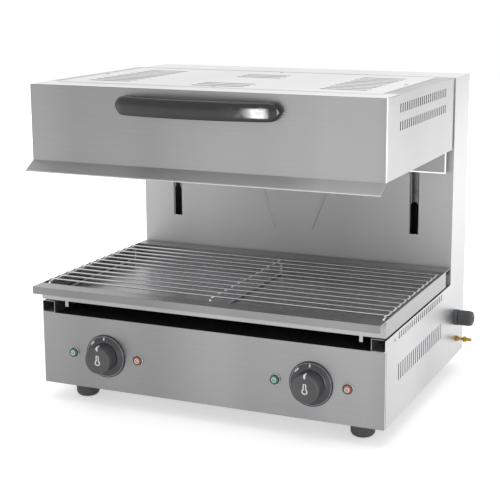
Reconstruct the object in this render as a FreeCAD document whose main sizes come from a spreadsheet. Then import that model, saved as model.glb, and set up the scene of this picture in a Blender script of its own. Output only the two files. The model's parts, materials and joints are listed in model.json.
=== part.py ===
import FreeCAD, Part
import os
import re
import Sketcher

# Electric lift-hood grill for a counter: a low base with two dials and four lamps, a tray with a wire
# rack on it, and a heated hood that rides up and down on two guide rods inside a rear column.
# X runs across the front, Y from front to back, Z up. Sizes are in millimetres.
# Places are measured from the middle of the base's front face, at the level of the counter.

SIZES = {
    # Sheet metal, clearances and cuts
    "sheet": 1.2,
    "bend_radius": 0.9,
    "return_width": 12.0,
    "fit_gap": 0.05,
    "running_gap": 0.3,
    "overrun": 4.0,
    # Casing
    "case_width": 600.0,
    "case_depth": 360.0,
    "column_depth": 92.0,
    "foot_height": 32.0,
    "base_height": 122.0,
    "column_top_drop": 2.0,
    # Feet
    "foot_radius": 19.5,
    "foot_rounding": 9.0,
    "foot_side_inset": 51.6,
    "foot_front_inset": 50.4,
    "foot_back_inset": 52.0,
    # Ventilation slots in the sides of the base
    "side_slot_width": 5.0,
    "side_slot_start": 63.5,
    "side_slot_end": 54.2,
    "side_slot_count": 22,
    "base_slot_rise": 59.0,
    "base_slot_height": 27.0,
    "cover_slot_rise": 4.0,
    "cover_slot_height": 11.0,
    # Rails under the tray and their covers
    "rail_height": 20.0,
    "rail_width": 20.2,
    "rail_setback": 3.4,
    "rail_flange_margin": 0.4,
    "cover_height": 18.5,
    "cover_screw_back": 45.0,
    "cover_screw_rise": 7.5,
    # Screws
    "screw_head_radius": 3.6,
    "screw_head_height": 1.2,
    "screw_radius": 1.9,
    "screw_length": 5.0,
    "cover_screw_length": 3.0,
    # Dials
    "dial_inset": 119.0,
    "dial_rise": 58.4,
    "bezel_radius": 36.0,
    "bezel_rim": 2.2,
    "bezel_height": 6.0,
    "cap_radius": 23.8,
    "cap_reach": 29.0,
    "cap_draft": 1.4,
    "cap_rounding": 2.4,
    "shaft_radius": 3.0,
    "shaft_depth": 14.0,
    "thermostat_width": 40.0,
    "thermostat_depth": 36.0,
    "thermostat_tab": 9.0,
    # Lamps
    "lamp_offset": 60.0,
    "lens_radius": 8.0,
    "lens_reach": 6.5,
    "lens_rounding": 4.5,
    "lamp_body_radius": 6.5,
    "lamp_body_depth": 24.0,
    "lamp_rim_width": 1.5,
    "lamp_rim_reach": 2.0,
    # Tray
    "tray_lift": 2.0,
    "tray_height": 27.5,
    "tray_back_gap": 32.0,
    "lip_reach": 27.4,
    "back_lip_gap": 3.0,
    "lip_drop": 12.4,
    "runner_inset": 6.0,
    "runner_width": 14.0,
    "runner_end": 20.0,
    "stop_inset": 42.0,
    "stop_width": 6.0,
    "stop_back": 8.0,
    "stop_drop": 12.0,
    # Wire rack
    "rack_margin": 4.0,
    "wire_radius": 1.5,
    "wire_front_margin": 12.5,
    "wire_back_margin": 10.8,
    "wire_count": 12,
    "frame_radius": 2.0,
    "frame_front": 8.0,
    "frame_back_margin": 25.0,
    "frame_drop": 1.0,
    "frame_side_inset": 8.0,
    "frame_middle": 5.0,
    # Column front: slots for the arms and the two pressed beads
    "guide_inset": 69.0,
    "arm_slot_gap": 2.0,
    "arm_slot_margin": 2.5,
    "bead_radius": 5.0,
    "bead_height": 1.3,
    "bead_length": 160.0,
    "bead_tilt": 21.0,
    "bead_rise": 95.5,
    "bead_half_spacing": 33.9,
    "bead_middle": 5.0,
    "back_vent_width": 110.0,
    "back_vent_height": 5.0,
    "back_vent_offset": 75.0,
    "back_vent_rise": 330.0,
    "back_vent_spacing": 14.0,
    "back_vent_count": 8,
    "back_screw_margin": 40.0,
    "back_screw_count": 3,
    # Guide rods, brackets and carriages
    "guide_radius": 7.0,
    "guide_back": 42.0,
    "bracket_plate": 3.0,
    "bracket_back_gap": 10.0,
    "guide_top_drop": 23.0,
    "bush_wall": 3.0,
    "housing_half": 16.0,
    "housing_back": 14.0,
    "housing_height": 30.0,
    "housing_low_rise": 13.0,
    "housing_top_drop": 10.0,
    "arm_width": 13.0,
    "arm_sheet": 1.5,
    "arm_depth": 18.5,
    "arm_front_gap": 0.8,
    "arm_drop": 59.0,
    "arm_top_drop": 10.0,
    "arm_bolt_radius": 4.2,
    "arm_bolt_head": 3.0,
    "arm_bolt_shank": 2.5,
    "arm_bolt_rise": 18.0,
    "hanger_bolt_drop": 65.0,
    "hanger_bolt_spacing": 45.0,
    "hanger_bolt_length": 6.0,
    # Counterweight, pulleys and cables
    "hood_travel": 110.0,
    "pulley_radius": 22.0,
    "pulley_rim": 3.0,
    "pulley_width": 9.0,
    "pulley_edge": 1.0,
    "pulley_side_gap": 5.5,
    "pulley_back": 45.0,
    "pulley_drop": 27.0,
    "axle_radius": 6.0,
    "axle_end": 4.0,
    "bearing_inset": 35.0,
    "bearing_width": 20.0,
    "bearing_half_depth": 15.0,
    "bearing_drop": 18.0,
    "cable_radius": 1.25,
    "lug_height": 10.0,
    "lug_half_depth": 6.0,
    "lug_inset": 4.0,
    "lug_drop": 38.0,
    "weight_end": 5.0,
    "weight_half_depth": 15.0,
    "weight_height": 110.0,
    "weight_rise": 40.0,
    "weight_guide_radius": 4.0,
    "weight_guide_inset": 55.0,
    "eye_radius": 4.0,
    "eye_height": 8.0,
    # Hood
    "cooking_height": 208.0,
    "hood_height": 122.5,
    "hood_overhang": 10.0,
    "hood_back_gap": 11.3,
    "hood_side_inset": 0.5,
    "brow_reach": 23.3,
    "brow_drop": 14.2,
    "hem_radius": 1.3,
    "skirt_drop": 41.5,
    "skirt_inset": 9.5,
    "top_flange_front": 60.0,
    "top_flange_back": 48.7,
    "top_flange_side": 48.0,
    "top_cover_inset": 23.5,
    "top_cover_front": 46.0,
    "top_cover_back": 24.7,
    "top_screw_edge": 8.0,
    # Slots in the sides of the hood
    "hood_slot_width": 5.0,
    "hood_slot_height": 13.3,
    "hood_slot_start": 62.0,
    "hood_slot_end": 47.5,
    "hood_slot_count": 23,
    "hood_slot_drop": 54.1,
    "hood_slot_row_spacing": 26.6,
    # Vents in the top of the hood
    "vent_width": 10.0,
    "side_vent_start": 34.0,
    "side_vent_end": 42.4,
    "side_vent_count": 10,
    "side_vent_length": 76.0,
    "side_vent_inset": 36.0,
    "middle_vent_half": 45.0,
    "middle_vent_start": 16.0,
    "middle_vent_count": 3,
    "back_middle_vent_half": 40.0,
    "back_middle_vent_end": 112.0,
    # Handle
    "handle_length": 279.0,
    "handle_height": 29.0,
    "handle_reach": 36.0,
    "handle_grip": 14.0,
    "handle_leg": 38.0,
    "handle_drop": 26.6,
    "handle_corner": 31.0,
    "handle_inner_corner": 8.0,
    "handle_edge": 5.5,
    # Reflector and heating elements
    "recess_side": 28.3,
    "recess_front": 38.8,
    "recess_back": 33.5,
    "recess_height": 31.3,
    "element_leg_count": 4,
    "element_radius": 4.0,
    "element_rise": 16.3,
    "element_middle_gap": 50.0,
    "element_side_gap": 40.0,
    "element_start": 40.0,
    "element_end": 44.0,
    "element_stub": 20.0,
    "element_terminal": 30.0,
    "comb_sheet": 1.5,
    "comb_inset": 40.0,
    "comb_rise": 9.3,
    "comb_end": 12.0,
    # Cable gland, bonding stud and terminal block on the right
    "gland_back": 37.0,
    "gland_rise": 73.0,
    "gland_radius": 14.0,
    "gland_reach": 33.0,
    "gland_flange": 7.0,
    "gland_gap": 1.0,
    "gland_thread_radius": 10.0,
    "gland_thread_reach": 14.0,
    "gland_lock": 5.0,
    "gland_bore": 4.5,
    "gland_wall": 3.0,
    "gland_rounding": 5.0,
    "stud_back": 48.0,
    "stud_rise": 30.6,
    "stud_radius": 3.0,
    "stud_reach": 28.0,
    "stud_inside": 6.0,
    "stud_nut_radius": 5.0,
    "stud_nut_height": 4.0,
    "stud_nut_place": 14.0,
    "block_side": 40.0,
    "block_width": 60.0,
    "block_depth": 30.0,
    "block_height": 26.0,
    "block_back": 20.0,
    "block_slot_width": 2.0,
    "block_slot_spacing": 12.0,
    "block_slot_depth": 8.0,
    "block_slot_count": 4,
}

PLACES = {
    "half_width": "case_width / 2",
    "inner_half": "half_width - sheet",
    "floor_top": "foot_height + sheet",
    "base_top": "foot_height + base_height",
    "column_back": "case_depth + column_depth",
    "rail_outer": "half_width - rail_setback",
    "rail_inner": "rail_outer - rail_width",
    "rail_top": "base_top + rail_height",
    "cover_top": "base_top + cover_height",
    "side_flange_inner": "rail_inner - rail_flange_margin",
    "tray_bottom": "rail_top + tray_lift",
    "tray_top": "tray_bottom + tray_height",
    "side_slot_run": "case_depth - side_slot_start - side_slot_end - side_slot_width",
    "side_slot_spacing": "side_slot_run / (side_slot_count - 1)",
    "dial_x": "half_width - dial_inset",
    "dial_z": "foot_height + dial_rise",
    "shaft_bore": "shaft_radius + fit_gap",
    "column_top": "hood_top - column_top_drop",
    "back_screw_spacing": "(column_top - foot_height - 2 * back_screw_margin) / (back_screw_count - 1)",
    "guide_x": "half_width - guide_inset",
    "guide_y": "case_depth + guide_back",
    "guide_bottom": "base_top + bracket_plate",
    "guide_top": "column_top - guide_top_drop",
    "hood_bottom": "tray_top + cooking_height",
    "hood_top": "hood_bottom + hood_height",
    "hood_front": "-hood_overhang",
    "hood_back": "case_depth - hood_back_gap",
    "hood_slot_run": "hood_back - hood_front - hood_slot_start - hood_slot_end - hood_slot_width",
    "hood_slot_spacing": "hood_slot_run / (hood_slot_count - 1)",
    "hood_half": "half_width - hood_side_inset",
    "hood_inner": "hood_half - sheet",
    "brow_length": "sqrt(brow_reach ^ 2 + brow_drop ^ 2)",
    "brow_tip_y": "hood_front - brow_reach",
    "brow_tip_z": "hood_bottom - brow_drop",
    "top_front_edge": "hood_front + top_flange_front",
    "top_back_edge": "hood_back - top_flange_back",
    "cover_half": "hood_half - top_cover_inset",
    "cover_front": "hood_front + top_cover_front",
    "cover_back": "hood_back - top_cover_back",
    "vent_run": "cover_back - cover_front - side_vent_start - side_vent_end - vent_width",
    "vent_spacing": "vent_run / (side_vent_count - 1)",
    "lid_top": "hood_top + sheet",
    "skirt_bottom": "hood_bottom - skirt_drop",
    "arm_half": "arm_width / 2",
    "arm_front": "case_depth + sheet + arm_front_gap",
    "arm_back": "arm_front + arm_depth",
    "arm_bottom": "skirt_bottom - arm_drop",
    "arm_top": "guide_top - arm_top_drop",
    "bush_radius": "guide_radius + fit_gap + bush_wall",
    "low_housing": "arm_bottom + housing_low_rise",
    "high_housing": "arm_top - housing_top_drop - housing_height",
    "pulley_x": "guide_x - housing_half - pulley_side_gap - pulley_width / 2",
    "bearing_x": "pulley_x - bearing_inset",
    "weight_guide_x": "pulley_x - weight_guide_inset",
    "pulley_y": "case_depth + pulley_back",
    "pulley_z": "guide_top - pulley_drop",
    "hood_cable_y": "pulley_y - pulley_radius",
    "weight_cable_y": "pulley_y + pulley_radius",
    "lug_top": "pulley_z - lug_drop",
    "weight_bottom": "base_top + weight_rise",
    "weight_top": "weight_bottom + weight_height",
    "recess_top": "hood_bottom + sheet + recess_height",
    "recess_half": "hood_inner - recess_side",
    "recess_low_y": "hood_front + sheet + recess_front",
    "recess_high_y": "hood_back - sheet - recess_back",
    "element_z": "hood_bottom + sheet + element_rise",
    "element_front": "recess_low_y + element_start",
    "element_back": "recess_high_y - element_end",
    "element_spacing": "(recess_half - element_middle_gap - element_side_gap) / (element_leg_count - 1)",
    "comb_spacing": "element_back - element_front - 2 * comb_inset",
    "handle_z": "hood_top - handle_drop",
    "handle_front": "hood_front - handle_reach",
    "gland_y": "case_depth + gland_back",
    "gland_z": "foot_height + gland_rise",
    "stud_y": "case_depth + stud_back",
    "stud_z": "foot_height + stud_rise",
    "tray_depth": "case_depth - tray_back_gap",
    "frame_z": "tray_top - frame_drop",
    "frame_foot_z": "tray_bottom + sheet + running_gap + frame_radius",
    "frame_back": "tray_depth - frame_back_margin",
    "wire_start": "frame_front + wire_front_margin",
    "wire_spacing": "(frame_back - wire_back_margin - wire_start) / (wire_count - 1)",
    "origin_x": "-(gland_reach - screw_head_height) / 2",
    "origin_y": "-(column_back + screw_head_height + handle_front) / 2",
}

AXES = {
    "X": FreeCAD.Rotation(FreeCAD.Vector(0, 1, 0), 90),
    "Y": FreeCAD.Rotation(FreeCAD.Vector(1, 0, 0), -90),
    "Z": FreeCAD.Rotation(),
}

LEFT = -1
RIGHT = 1
NEAR_SHARE = 0.001
ELEMENT_LEGS = SIZES["element_leg_count"]

doc = FreeCAD.newDocument("lift_grill")
sheet_of_sizes = doc.addObject("Spreadsheet::Sheet", "Sizes")
for row, (word, value) in enumerate(SIZES.items(), start=1):
    sheet_of_sizes.set(f"A{row}", word)
    sheet_of_sizes.set(f"B{row}", str(value))
    sheet_of_sizes.setAlias(f"B{row}", word)
doc.recompute()

parts = []


def formula(text):
    """The text with every named place written out and every size read from the sheet."""
    def written_out(match):
        word = match.group(0)
        if word in PLACES:
            return "(" + formula(PLACES[word]) + ")"
        if word in SIZES:
            return "Sizes." + word
        return word
    return re.sub(r"[a-z][a-z_]*", written_out, text)


def bind(thing, prop, text):
    thing.setExpression(prop, formula(text))


def bind_base(thing, prop, place):
    for axis, text in zip("xyz", place):
        bind(thing, f".{prop}.Base.{axis}", text)


def mirrored(side, text):
    return text if side == RIGHT else f"-({text})"


def span(side, low, high):
    """The two ends of a stretch along X, swapped and negated on the left."""
    return (low, high) if side == RIGHT else (f"-({high})", f"-({low})")


def side_name(side):
    return "right" if side == RIGHT else "left"


def new_part(name):
    body = doc.addObject("PartDesign::Body", name)
    body.Label = name
    body.AllowCompound = True
    bind_base(body, "Placement", ("origin_x", "origin_y", "0"))
    parts.append(body)
    return body


def origin_item(body, role):
    return next(item for item in body.Origin.OriginFeatures if item.Role == role)


def add_feature(body, kind, name):
    feature = body.newObject(f"PartDesign::{kind}", name)
    body.Tip = feature
    return feature


def block(body, name, x, y, z, cut=False):
    """A box from its lower to its upper corner, each of x, y and z a pair of formulas."""
    feature = add_feature(body, "SubtractiveBox" if cut else "AdditiveBox", name)
    for prop, (low, high) in zip(("Length", "Width", "Height"), (x, y, z)):
        bind(feature, prop, f"{high} - ({low})")
    bind_base(feature, "Placement", (x[0], y[0], z[0]))
    return feature


def rod(body, name, axis, start, radius, length, cut=False):
    """A round bar, or with cut a bore, that runs from start along the named axis."""
    feature = add_feature(body, "SubtractiveCylinder" if cut else "AdditiveCylinder", name)
    feature.Placement = FreeCAD.Placement(FreeCAD.Vector(), AXES[axis])
    bind(feature, "Radius", radius)
    bind(feature, "Height", length)
    bind_base(feature, "Placement", start)
    return feature


def bend(body, name, centre, radius, wire, rotation):
    """Half a ring of round wire."""
    feature = add_feature(body, "AdditiveTorus", name)
    feature.Placement = FreeCAD.Placement(FreeCAD.Vector(), rotation)
    feature.Angle3 = 180
    bind(feature, "Radius1", radius)
    bind(feature, "Radius2", wire)
    bind_base(feature, "Placement", centre)
    return feature


def repeat(body, name, features, axis, count, step):
    pattern = add_feature(body, "LinearPattern", name)
    pattern.Originals = features
    pattern.Direction = (origin_item(body, f"{axis}_Axis"), [""])
    pattern.Mode = "Spacing"
    bind(pattern, "Occurrences", count)
    bind(pattern, "Offset", step)
    return pattern


def outline(body, name, plane, points, place=("0", "0", "0")):
    """A closed sketch of straight lines through points given as pairs of formulas."""
    sketch = body.newObject("Sketcher::SketchObject", name)
    sketch.AttachmentSupport = [(origin_item(body, plane), "")]
    sketch.MapMode = "FlatFace"
    count = len(points)
    rough = [FreeCAD.Vector(i, i * i, 0) for i in range(count)]
    for i in range(count):
        sketch.addGeometry(Part.LineSegment(rough[i], rough[(i + 1) % count]), False)
    for i in range(count):
        sketch.addConstraint(Sketcher.Constraint("Coincident", i, 2, (i + 1) % count, 1))
    for i, point in enumerate(points):
        for axis, text, now in zip("XY", point, rough[i]):
            constraint = Sketcher.Constraint(f"Distance{axis}", -1, 1, i, 1, now)
            index = sketch.addConstraint(constraint)
            sketch.renameConstraint(index, f"point_{axis}_{i}")
            bind(sketch, f"Constraints.point_{axis}_{i}", text)
    bind_base(sketch, "AttachmentOffset", place)
    return sketch


def pad_across(body, name, points, length):
    """A bar of constant section, given in Y and Z, centred on X = 0."""
    feature = add_feature(body, "Pad", name)
    feature.Profile = (outline(body, name + "Section", "YZ_Plane", points), [""])
    feature.SideType = "Symmetric"
    bind(feature, "Length", length)
    body.Tip = feature
    return feature


def turned(body, name, axis, points, centre, cut=False):
    """A turned piece: points are pairs of radius and distance along the X or Y axis from centre."""
    if axis == "Y":
        section = outline(body, name + "Section", "XY_Plane", points, centre)
    else:
        swapped = [(along, radius) for radius, along in points]
        x, y, z = centre
        section = outline(body, name + "Section", "XZ_Plane", swapped, (x, z, f"-({y})"))
    feature = add_feature(body, "Groove" if cut else "Revolution", name)
    feature.Profile = (section, [""])
    feature.ReferenceAxis = (section, ["V_Axis" if axis == "Y" else "H_Axis"])
    feature.Angle = 360
    return feature


def round_edges(body, name, radius, chosen):
    """Rounds the edges of the piece so far that the function chosen picks."""
    doc.recompute()
    base = body.Tip
    names = [f"Edge{i}" for i, edge in enumerate(base.Shape.Edges, start=1) if chosen(edge, base.Shape)]
    feature = add_feature(body, "Fillet", name)
    feature.Base = (base, names)
    bind(feature, "Radius", radius)
    return feature


def is_near(a, b):
    return abs(a - b) < NEAR_SHARE * SIZES["sheet"]


def front_corner(edge, shape):
    """True for the upright edges at the two front corners of a piece."""
    box = edge.BoundBox
    upright = is_near(box.XLength, 0) and is_near(box.YLength, 0)
    at_side = is_near(box.XMin, shape.BoundBox.XMin) or is_near(box.XMax, shape.BoundBox.XMax)
    return upright and at_side and is_near(box.YMin, shape.BoundBox.YMin)


def slots_along_y(body, name, side, outer, start, z, width, count, pitch):
    """A row of upright slots through the wall whose outer face is at X = outer."""
    x = span(side, f"{outer} - sheet - overrun", f"{outer} + overrun")
    slot = block(body, name, x, (start, f"{start} + {width}"), z, cut=True)
    repeat(body, name + "Row", [slot], "Y", count, pitch)


# Base

def base_front_panel():
    body = new_part("base_front_panel")
    block(body, "Face", ("-half_width", "half_width"), ("0", "sheet"), ("foot_height", "base_top"))
    for side in (LEFT, RIGHT):
        hand = side_name(side).title()
        x = span(side, "inner_half - sheet", "inner_half")
        block(body, f"Return{hand}", x, ("sheet", "return_width"), ("floor_top", "base_top - sheet"))
        dial = mirrored(side, "dial_x")
        start = (dial, "-overrun", "dial_z")
        rod(body, f"ShaftHole{hand}", "Y", start, "shaft_radius + running_gap", "overrun * 2 + sheet", cut=True)
        for way in ("-", "+"):
            place = (f"{dial} {way} lamp_offset", "-overrun", "dial_z")
            label = "LampHoleIn" if (way == "-") == (side == RIGHT) else "LampHoleOut"
            radius = "lamp_body_radius + fit_gap"
            rod(body, f"{label}{hand}", "Y", place, radius, "overrun * 2 + sheet", cut=True)
    round_edges(body, "Bends", "bend_radius", front_corner)


def base_side(side):
    body = new_part(f"base_side_{side_name(side)}")
    y = ("sheet", "case_depth")
    block(body, "Wall", span(side, "inner_half", "half_width"), y, ("foot_height", "base_top"))
    flange = span(side, "side_flange_inner", "inner_half")
    block(body, "TopFlange", flange, y, ("base_top - sheet", "base_top"))
    low = "foot_height + base_slot_rise"
    z = (low, f"{low} + base_slot_height")
    slots_along_y(body, "Slot", side, "half_width", "side_slot_start", z,
                  "side_slot_width", "side_slot_count", "side_slot_spacing")


def base_bottom_plate():
    body = new_part("base_bottom_plate")
    block(body, "Plate", ("-inner_half", "inner_half"), ("sheet", "column_back - sheet"),
          ("foot_height", "floor_top"))
    z = ("floor_top", "foot_height + return_width")
    inside = "inner_half - sheet"
    block(body, "FrontFlange", (f"-({inside})", inside), ("sheet", "2 * sheet"), z)
    for side in (LEFT, RIGHT):
        block(body, f"Flange{side_name(side).title()}", span(side, inside, "inner_half"),
              ("return_width", "case_depth"), z)


def base_top_plate():
    body = new_part("base_top_plate")
    x = ("-side_flange_inner", "side_flange_inner")
    block(body, "Plate", x, ("sheet", "case_depth"), ("base_top - sheet", "base_top"))
    block(body, "FrontFlange", x, ("sheet", "2 * sheet"), ("base_top - return_width", "base_top - sheet"))


def foot(side, name, y):
    body = new_part(f"foot_{name}_{side_name(side)}")
    place = (mirrored(side, "half_width - foot_side_inset"), y, "0")
    rod(body, "Pad", "Z", place, "foot_radius", "foot_height")
    round_edges(body, "Rounding", "foot_rounding",
                lambda edge, shape: is_near(edge.BoundBox.ZMax, shape.BoundBox.ZMin))


def rail(side):
    body = new_part(f"rail_{side_name(side)}")
    y = ("0", "case_depth")
    block(body, "Bar", span(side, "rail_inner", "rail_outer"), y, ("base_top", "rail_top"))
    x = span(side, "rail_inner + sheet", "rail_outer + overrun")
    block(body, "Channel", x, ("-overrun", "case_depth + overrun"),
          ("base_top + sheet", "rail_top - sheet"), cut=True)


def rail_cover(side):
    body = new_part(f"rail_cover_{side_name(side)}")
    y = ("0", "case_depth")
    block(body, "Wall", span(side, "inner_half", "half_width"), y, ("base_top", "cover_top"))
    block(body, "Foot", span(side, "rail_outer", "inner_half"), y, ("base_top", "base_top + sheet"))
    low = "base_top + cover_slot_rise"
    slots_along_y(body, "Slot", side, "half_width", "side_slot_start", (low, f"{low} + cover_slot_height"),
                  "side_slot_width", "side_slot_count", "side_slot_spacing")
    start = (span(side, "inner_half - overrun", "half_width")[0], "cover_screw_back",
             "base_top + cover_screw_rise")
    rod(body, "ScrewHole", "X", start, "screw_radius + fit_gap", "sheet + overrun", cut=True)


def rail_cover_screws():
    body = new_part("rail_cover_screws")
    for side in (LEFT, RIGHT):
        hand = side_name(side).title()
        level = ("cover_screw_back", "base_top + cover_screw_rise")
        head = span(side, "half_width", "half_width + screw_head_height")
        rod(body, f"Head{hand}", "X", (head[0], *level), "screw_head_radius", "screw_head_height")
        shank = span(side, "half_width - cover_screw_length", "half_width")
        rod(body, f"Shank{hand}", "X", (shank[0], *level), "screw_radius", "cover_screw_length")


def knob_bezel(side):
    body = new_part(f"knob_bezel_{side_name(side)}")
    bore = "shaft_radius + running_gap"
    points = [(bore, "0"), ("bezel_radius", "0"), ("bezel_radius", "-bezel_rim"),
              ("cap_radius", "-bezel_height"), (bore, "-bezel_height")]
    turned(body, "Ring", "Y", points, (mirrored(side, "dial_x"), "0", "dial_z"))


def knob(side):
    body = new_part(f"knob_{side_name(side)}")
    back = "-(bezel_height + running_gap)"
    points = [("0", "-cap_reach"), ("cap_radius - cap_draft", "-cap_reach"), ("cap_radius", back), ("0", back)]
    centre = (mirrored(side, "dial_x"), "0", "dial_z")
    turned(body, "Cap", "Y", points, centre)
    round_edges(body, "Rounding", "cap_rounding",
                lambda edge, shape: is_near(edge.BoundBox.YMax, shape.BoundBox.YMin))
    start = (centre[0], back, centre[2])
    rod(body, "Shaft", "Y", start, "shaft_radius", f"shaft_depth - ({back})")


def thermostat(side):
    body = new_part(f"thermostat_{side_name(side)}")
    dial = mirrored(side, "dial_x")
    half = "thermostat_width / 2"
    x = (f"{dial} - {half}", f"{dial} + {half}")
    z = (f"dial_z - {half}", f"dial_z + {half}")
    block(body, "Case", x, ("sheet", "sheet + thermostat_depth"), z)
    rod(body, "Bore", "Y", (dial, "0", "dial_z"), "shaft_bore", "shaft_depth + running_gap", cut=True)
    tab = "thermostat_tab / 2"
    low = "sheet + thermostat_depth"
    tab_z = (f"dial_z - {tab}", f"dial_z + {tab}")
    for label, middle in (("Low", f"{dial} - {half} / 2"), ("High", f"{dial} + {half} / 2")):
        block(body, f"Tab{label}", (f"{middle} - sheet / 2", f"{middle} + sheet / 2"),
              (low, f"{low} + thermostat_tab"), tab_z)


def lamp_places(kind):
    """The power lamps stand on the left of each dial, and the heat lamps on the right."""
    way = {"power": "-", "heat": "+"}[kind]
    return [(side_name(side).title(), f"{mirrored(side, 'dial_x')} {way} lamp_offset")
            for side in (LEFT, RIGHT)]


def lamps(kind):
    body = new_part(f"{kind}_lamps")
    for hand, x in lamp_places(kind):
        rod(body, f"Lens{hand}", "Y", (x, "-lens_reach", "dial_z"), "lens_radius", "lens_reach")
    round_edges(body, "Domes", "lens_rounding",
                lambda edge, shape: is_near(edge.BoundBox.YMax, shape.BoundBox.YMin))
    for hand, x in lamp_places(kind):
        rod(body, f"Body{hand}", "Y", (x, "0", "dial_z"), "lamp_body_radius", "lamp_body_depth")


def lamp_rims():
    body = new_part("lamp_rims")
    inner = "lens_radius + fit_gap"
    points = [(inner, "0"), (f"{inner} + lamp_rim_width", "0"), (inner, "-lamp_rim_reach")]
    for kind in ("power", "heat"):
        for hand, x in lamp_places(kind):
            turned(body, f"Rim{kind.title()}{hand}", "Y", points, (x, "0", "dial_z"))


def terminal_block():
    body = new_part("terminal_block")
    right = "inner_half - block_side"
    x = (f"{right} - block_width", right)
    y = ("case_depth + block_back", "case_depth + block_back + block_depth")
    top = "floor_top + block_height"
    block(body, "Block", x, y, ("floor_top", top))
    first = f"{x[0]} + block_slot_spacing - block_slot_width / 2"
    slot = block(body, "Gap", (first, f"{first} + block_slot_width"),
                 (f"{y[0]} - overrun", f"{y[1]} + overrun"),
                 (f"{top} - block_slot_depth", f"{top} + overrun"), cut=True)
    repeat(body, "Gaps", [slot], "X", "block_slot_count", "block_slot_spacing")


# Column

def back_screws(body, name, radius, start, length, cut=False):
    """The screws, or their holes, down both edges of the back cover."""
    rods = []
    for side in (LEFT, RIGHT):
        place = (mirrored(side, "inner_half - return_width / 2"), start, "foot_height + back_screw_margin")
        rods.append(rod(body, f"{name}{side_name(side).title()}", "Y", place, radius, length, cut=cut))
    repeat(body, f"{name}Rows", rods, "Z", "back_screw_count", "back_screw_spacing")


def column_shell():
    body = new_part("column_shell")
    y = ("case_depth", "case_depth + sheet")
    block(body, "Front", ("-half_width", "half_width"), y, ("base_top - return_width", "column_top"))
    for side in (LEFT, RIGHT):
        hand = side_name(side).title()
        block(body, f"Side{hand}", span(side, "inner_half", "half_width"),
              ("case_depth", "column_back - sheet"), ("foot_height", "column_top"))
        block(body, f"Return{hand}", span(side, "inner_half - return_width", "inner_half"),
              ("column_back - 2 * sheet", "column_back - sheet"), ("floor_top", "column_top - sheet"))
        foot_x, low_z = mirrored(side, "bead_half_spacing"), "base_top + bead_rise"
        bead_y = "case_depth + bead_radius - bead_height"
        foot = (f"bead_middle + {foot_x}", bead_y, low_z)
        bead = rod(body, f"Bead{hand}", "Z", foot, "bead_radius", "bead_length")
        bead.Placement.Rotation = FreeCAD.Rotation(FreeCAD.Vector(0, side, 0), SIZES["bead_tilt"])
        bind(bead, ".Placement.Rotation.Angle", "bead_tilt")
    reach = "bead_half_spacing + bead_length"
    block(body, "BeadBacks", (f"-({reach})", reach),
          ("case_depth + sheet", "case_depth + sheet + 2 * bead_radius"),
          ("base_top", "guide_top"), cut=True)
    for side in (LEFT, RIGHT):
        hand = side_name(side).title()
        x = span(side, "guide_x - arm_half - arm_slot_gap", "guide_x + arm_half + arm_slot_gap")
        block(body, f"ArmSlot{hand}", x, ("case_depth - overrun", "case_depth + sheet + overrun"),
              ("skirt_bottom - hood_travel - arm_slot_margin", "guide_top"), cut=True)
    start, length = "inner_half - overrun", "sheet + 2 * overrun"
    rod(body, "GlandHole", "X", (start, "gland_y", "gland_z"), "gland_thread_radius + fit_gap", length,
        cut=True)
    rod(body, "StudHole", "X", (start, "stud_y", "stud_z"), "stud_radius + fit_gap", length, cut=True)
    back_screws(body, "ScrewHole", "screw_radius + fit_gap", "column_back - 2 * sheet - overrun",
                "2 * overrun", cut=True)


def column_back_cover():
    body = new_part("column_back_cover")
    block(body, "Plate", ("-half_width", "half_width"), ("column_back - sheet", "column_back"),
          ("foot_height", "column_top"))
    y = ("column_back - sheet - overrun", "column_back + overrun")
    low = "foot_height + back_vent_rise"
    vents = []
    for side in (LEFT, RIGHT):
        middle = mirrored(side, "back_vent_offset")
        x = (f"{middle} - back_vent_width / 2", f"{middle} + back_vent_width / 2")
        z = (low, f"{low} + back_vent_height")
        vents.append(block(body, f"Vent{side_name(side).title()}", x, y, z, cut=True))
    repeat(body, "Vents", vents, "Z", "back_vent_count", "back_vent_spacing")
    back_screws(body, "ScrewHole", "screw_radius + fit_gap", "column_back - overrun", "2 * overrun", cut=True)


def column_top_cap():
    body = new_part("column_top_cap")
    y = ("case_depth + sheet", "column_back - sheet")
    block(body, "Plate", ("-inner_half", "inner_half"), y, ("column_top - sheet", "column_top"))
    z = ("column_top - return_width", "column_top - sheet")
    for side in (LEFT, RIGHT):
        block(body, f"Flange{side_name(side).title()}", span(side, "inner_half - sheet", "inner_half"),
              ("case_depth + 2 * sheet", "column_back - 3 * sheet"), z)


def back_cover_screws():
    body = new_part("back_cover_screws")
    back_screws(body, "Head", "screw_head_radius", "column_back", "screw_head_height")
    back_screws(body, "Shank", "screw_radius", "column_back - screw_length", "screw_length")


def guide_rods():
    body = new_part("guide_rods")
    for side in (LEFT, RIGHT):
        start = (mirrored(side, "guide_x"), "guide_y", "guide_bottom")
        rod(body, f"Rod{side_name(side).title()}", "Z", start, "guide_radius", "guide_top - guide_bottom")


def weight_guide_rods():
    body = new_part("weight_guide_rods")
    for side in (LEFT, RIGHT):
        start = (mirrored(side, "weight_guide_x"), "weight_cable_y", "guide_bottom")
        rod(body, f"Rod{side_name(side).title()}", "Z", start, "weight_guide_radius",
            "guide_top - guide_bottom")


def guide_bracket(name, low, high, flange_low, flange_high):
    body = new_part(f"guide_bracket_{name}")
    y = ("case_depth + sheet", "column_back - bracket_back_gap")
    block(body, "Plate", ("-inner_half", "inner_half"), y, (low, high))
    for side in (LEFT, RIGHT):
        block(body, f"Flange{side_name(side).title()}", span(side, "inner_half - sheet", "inner_half"), y,
              (flange_low, flange_high))


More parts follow.
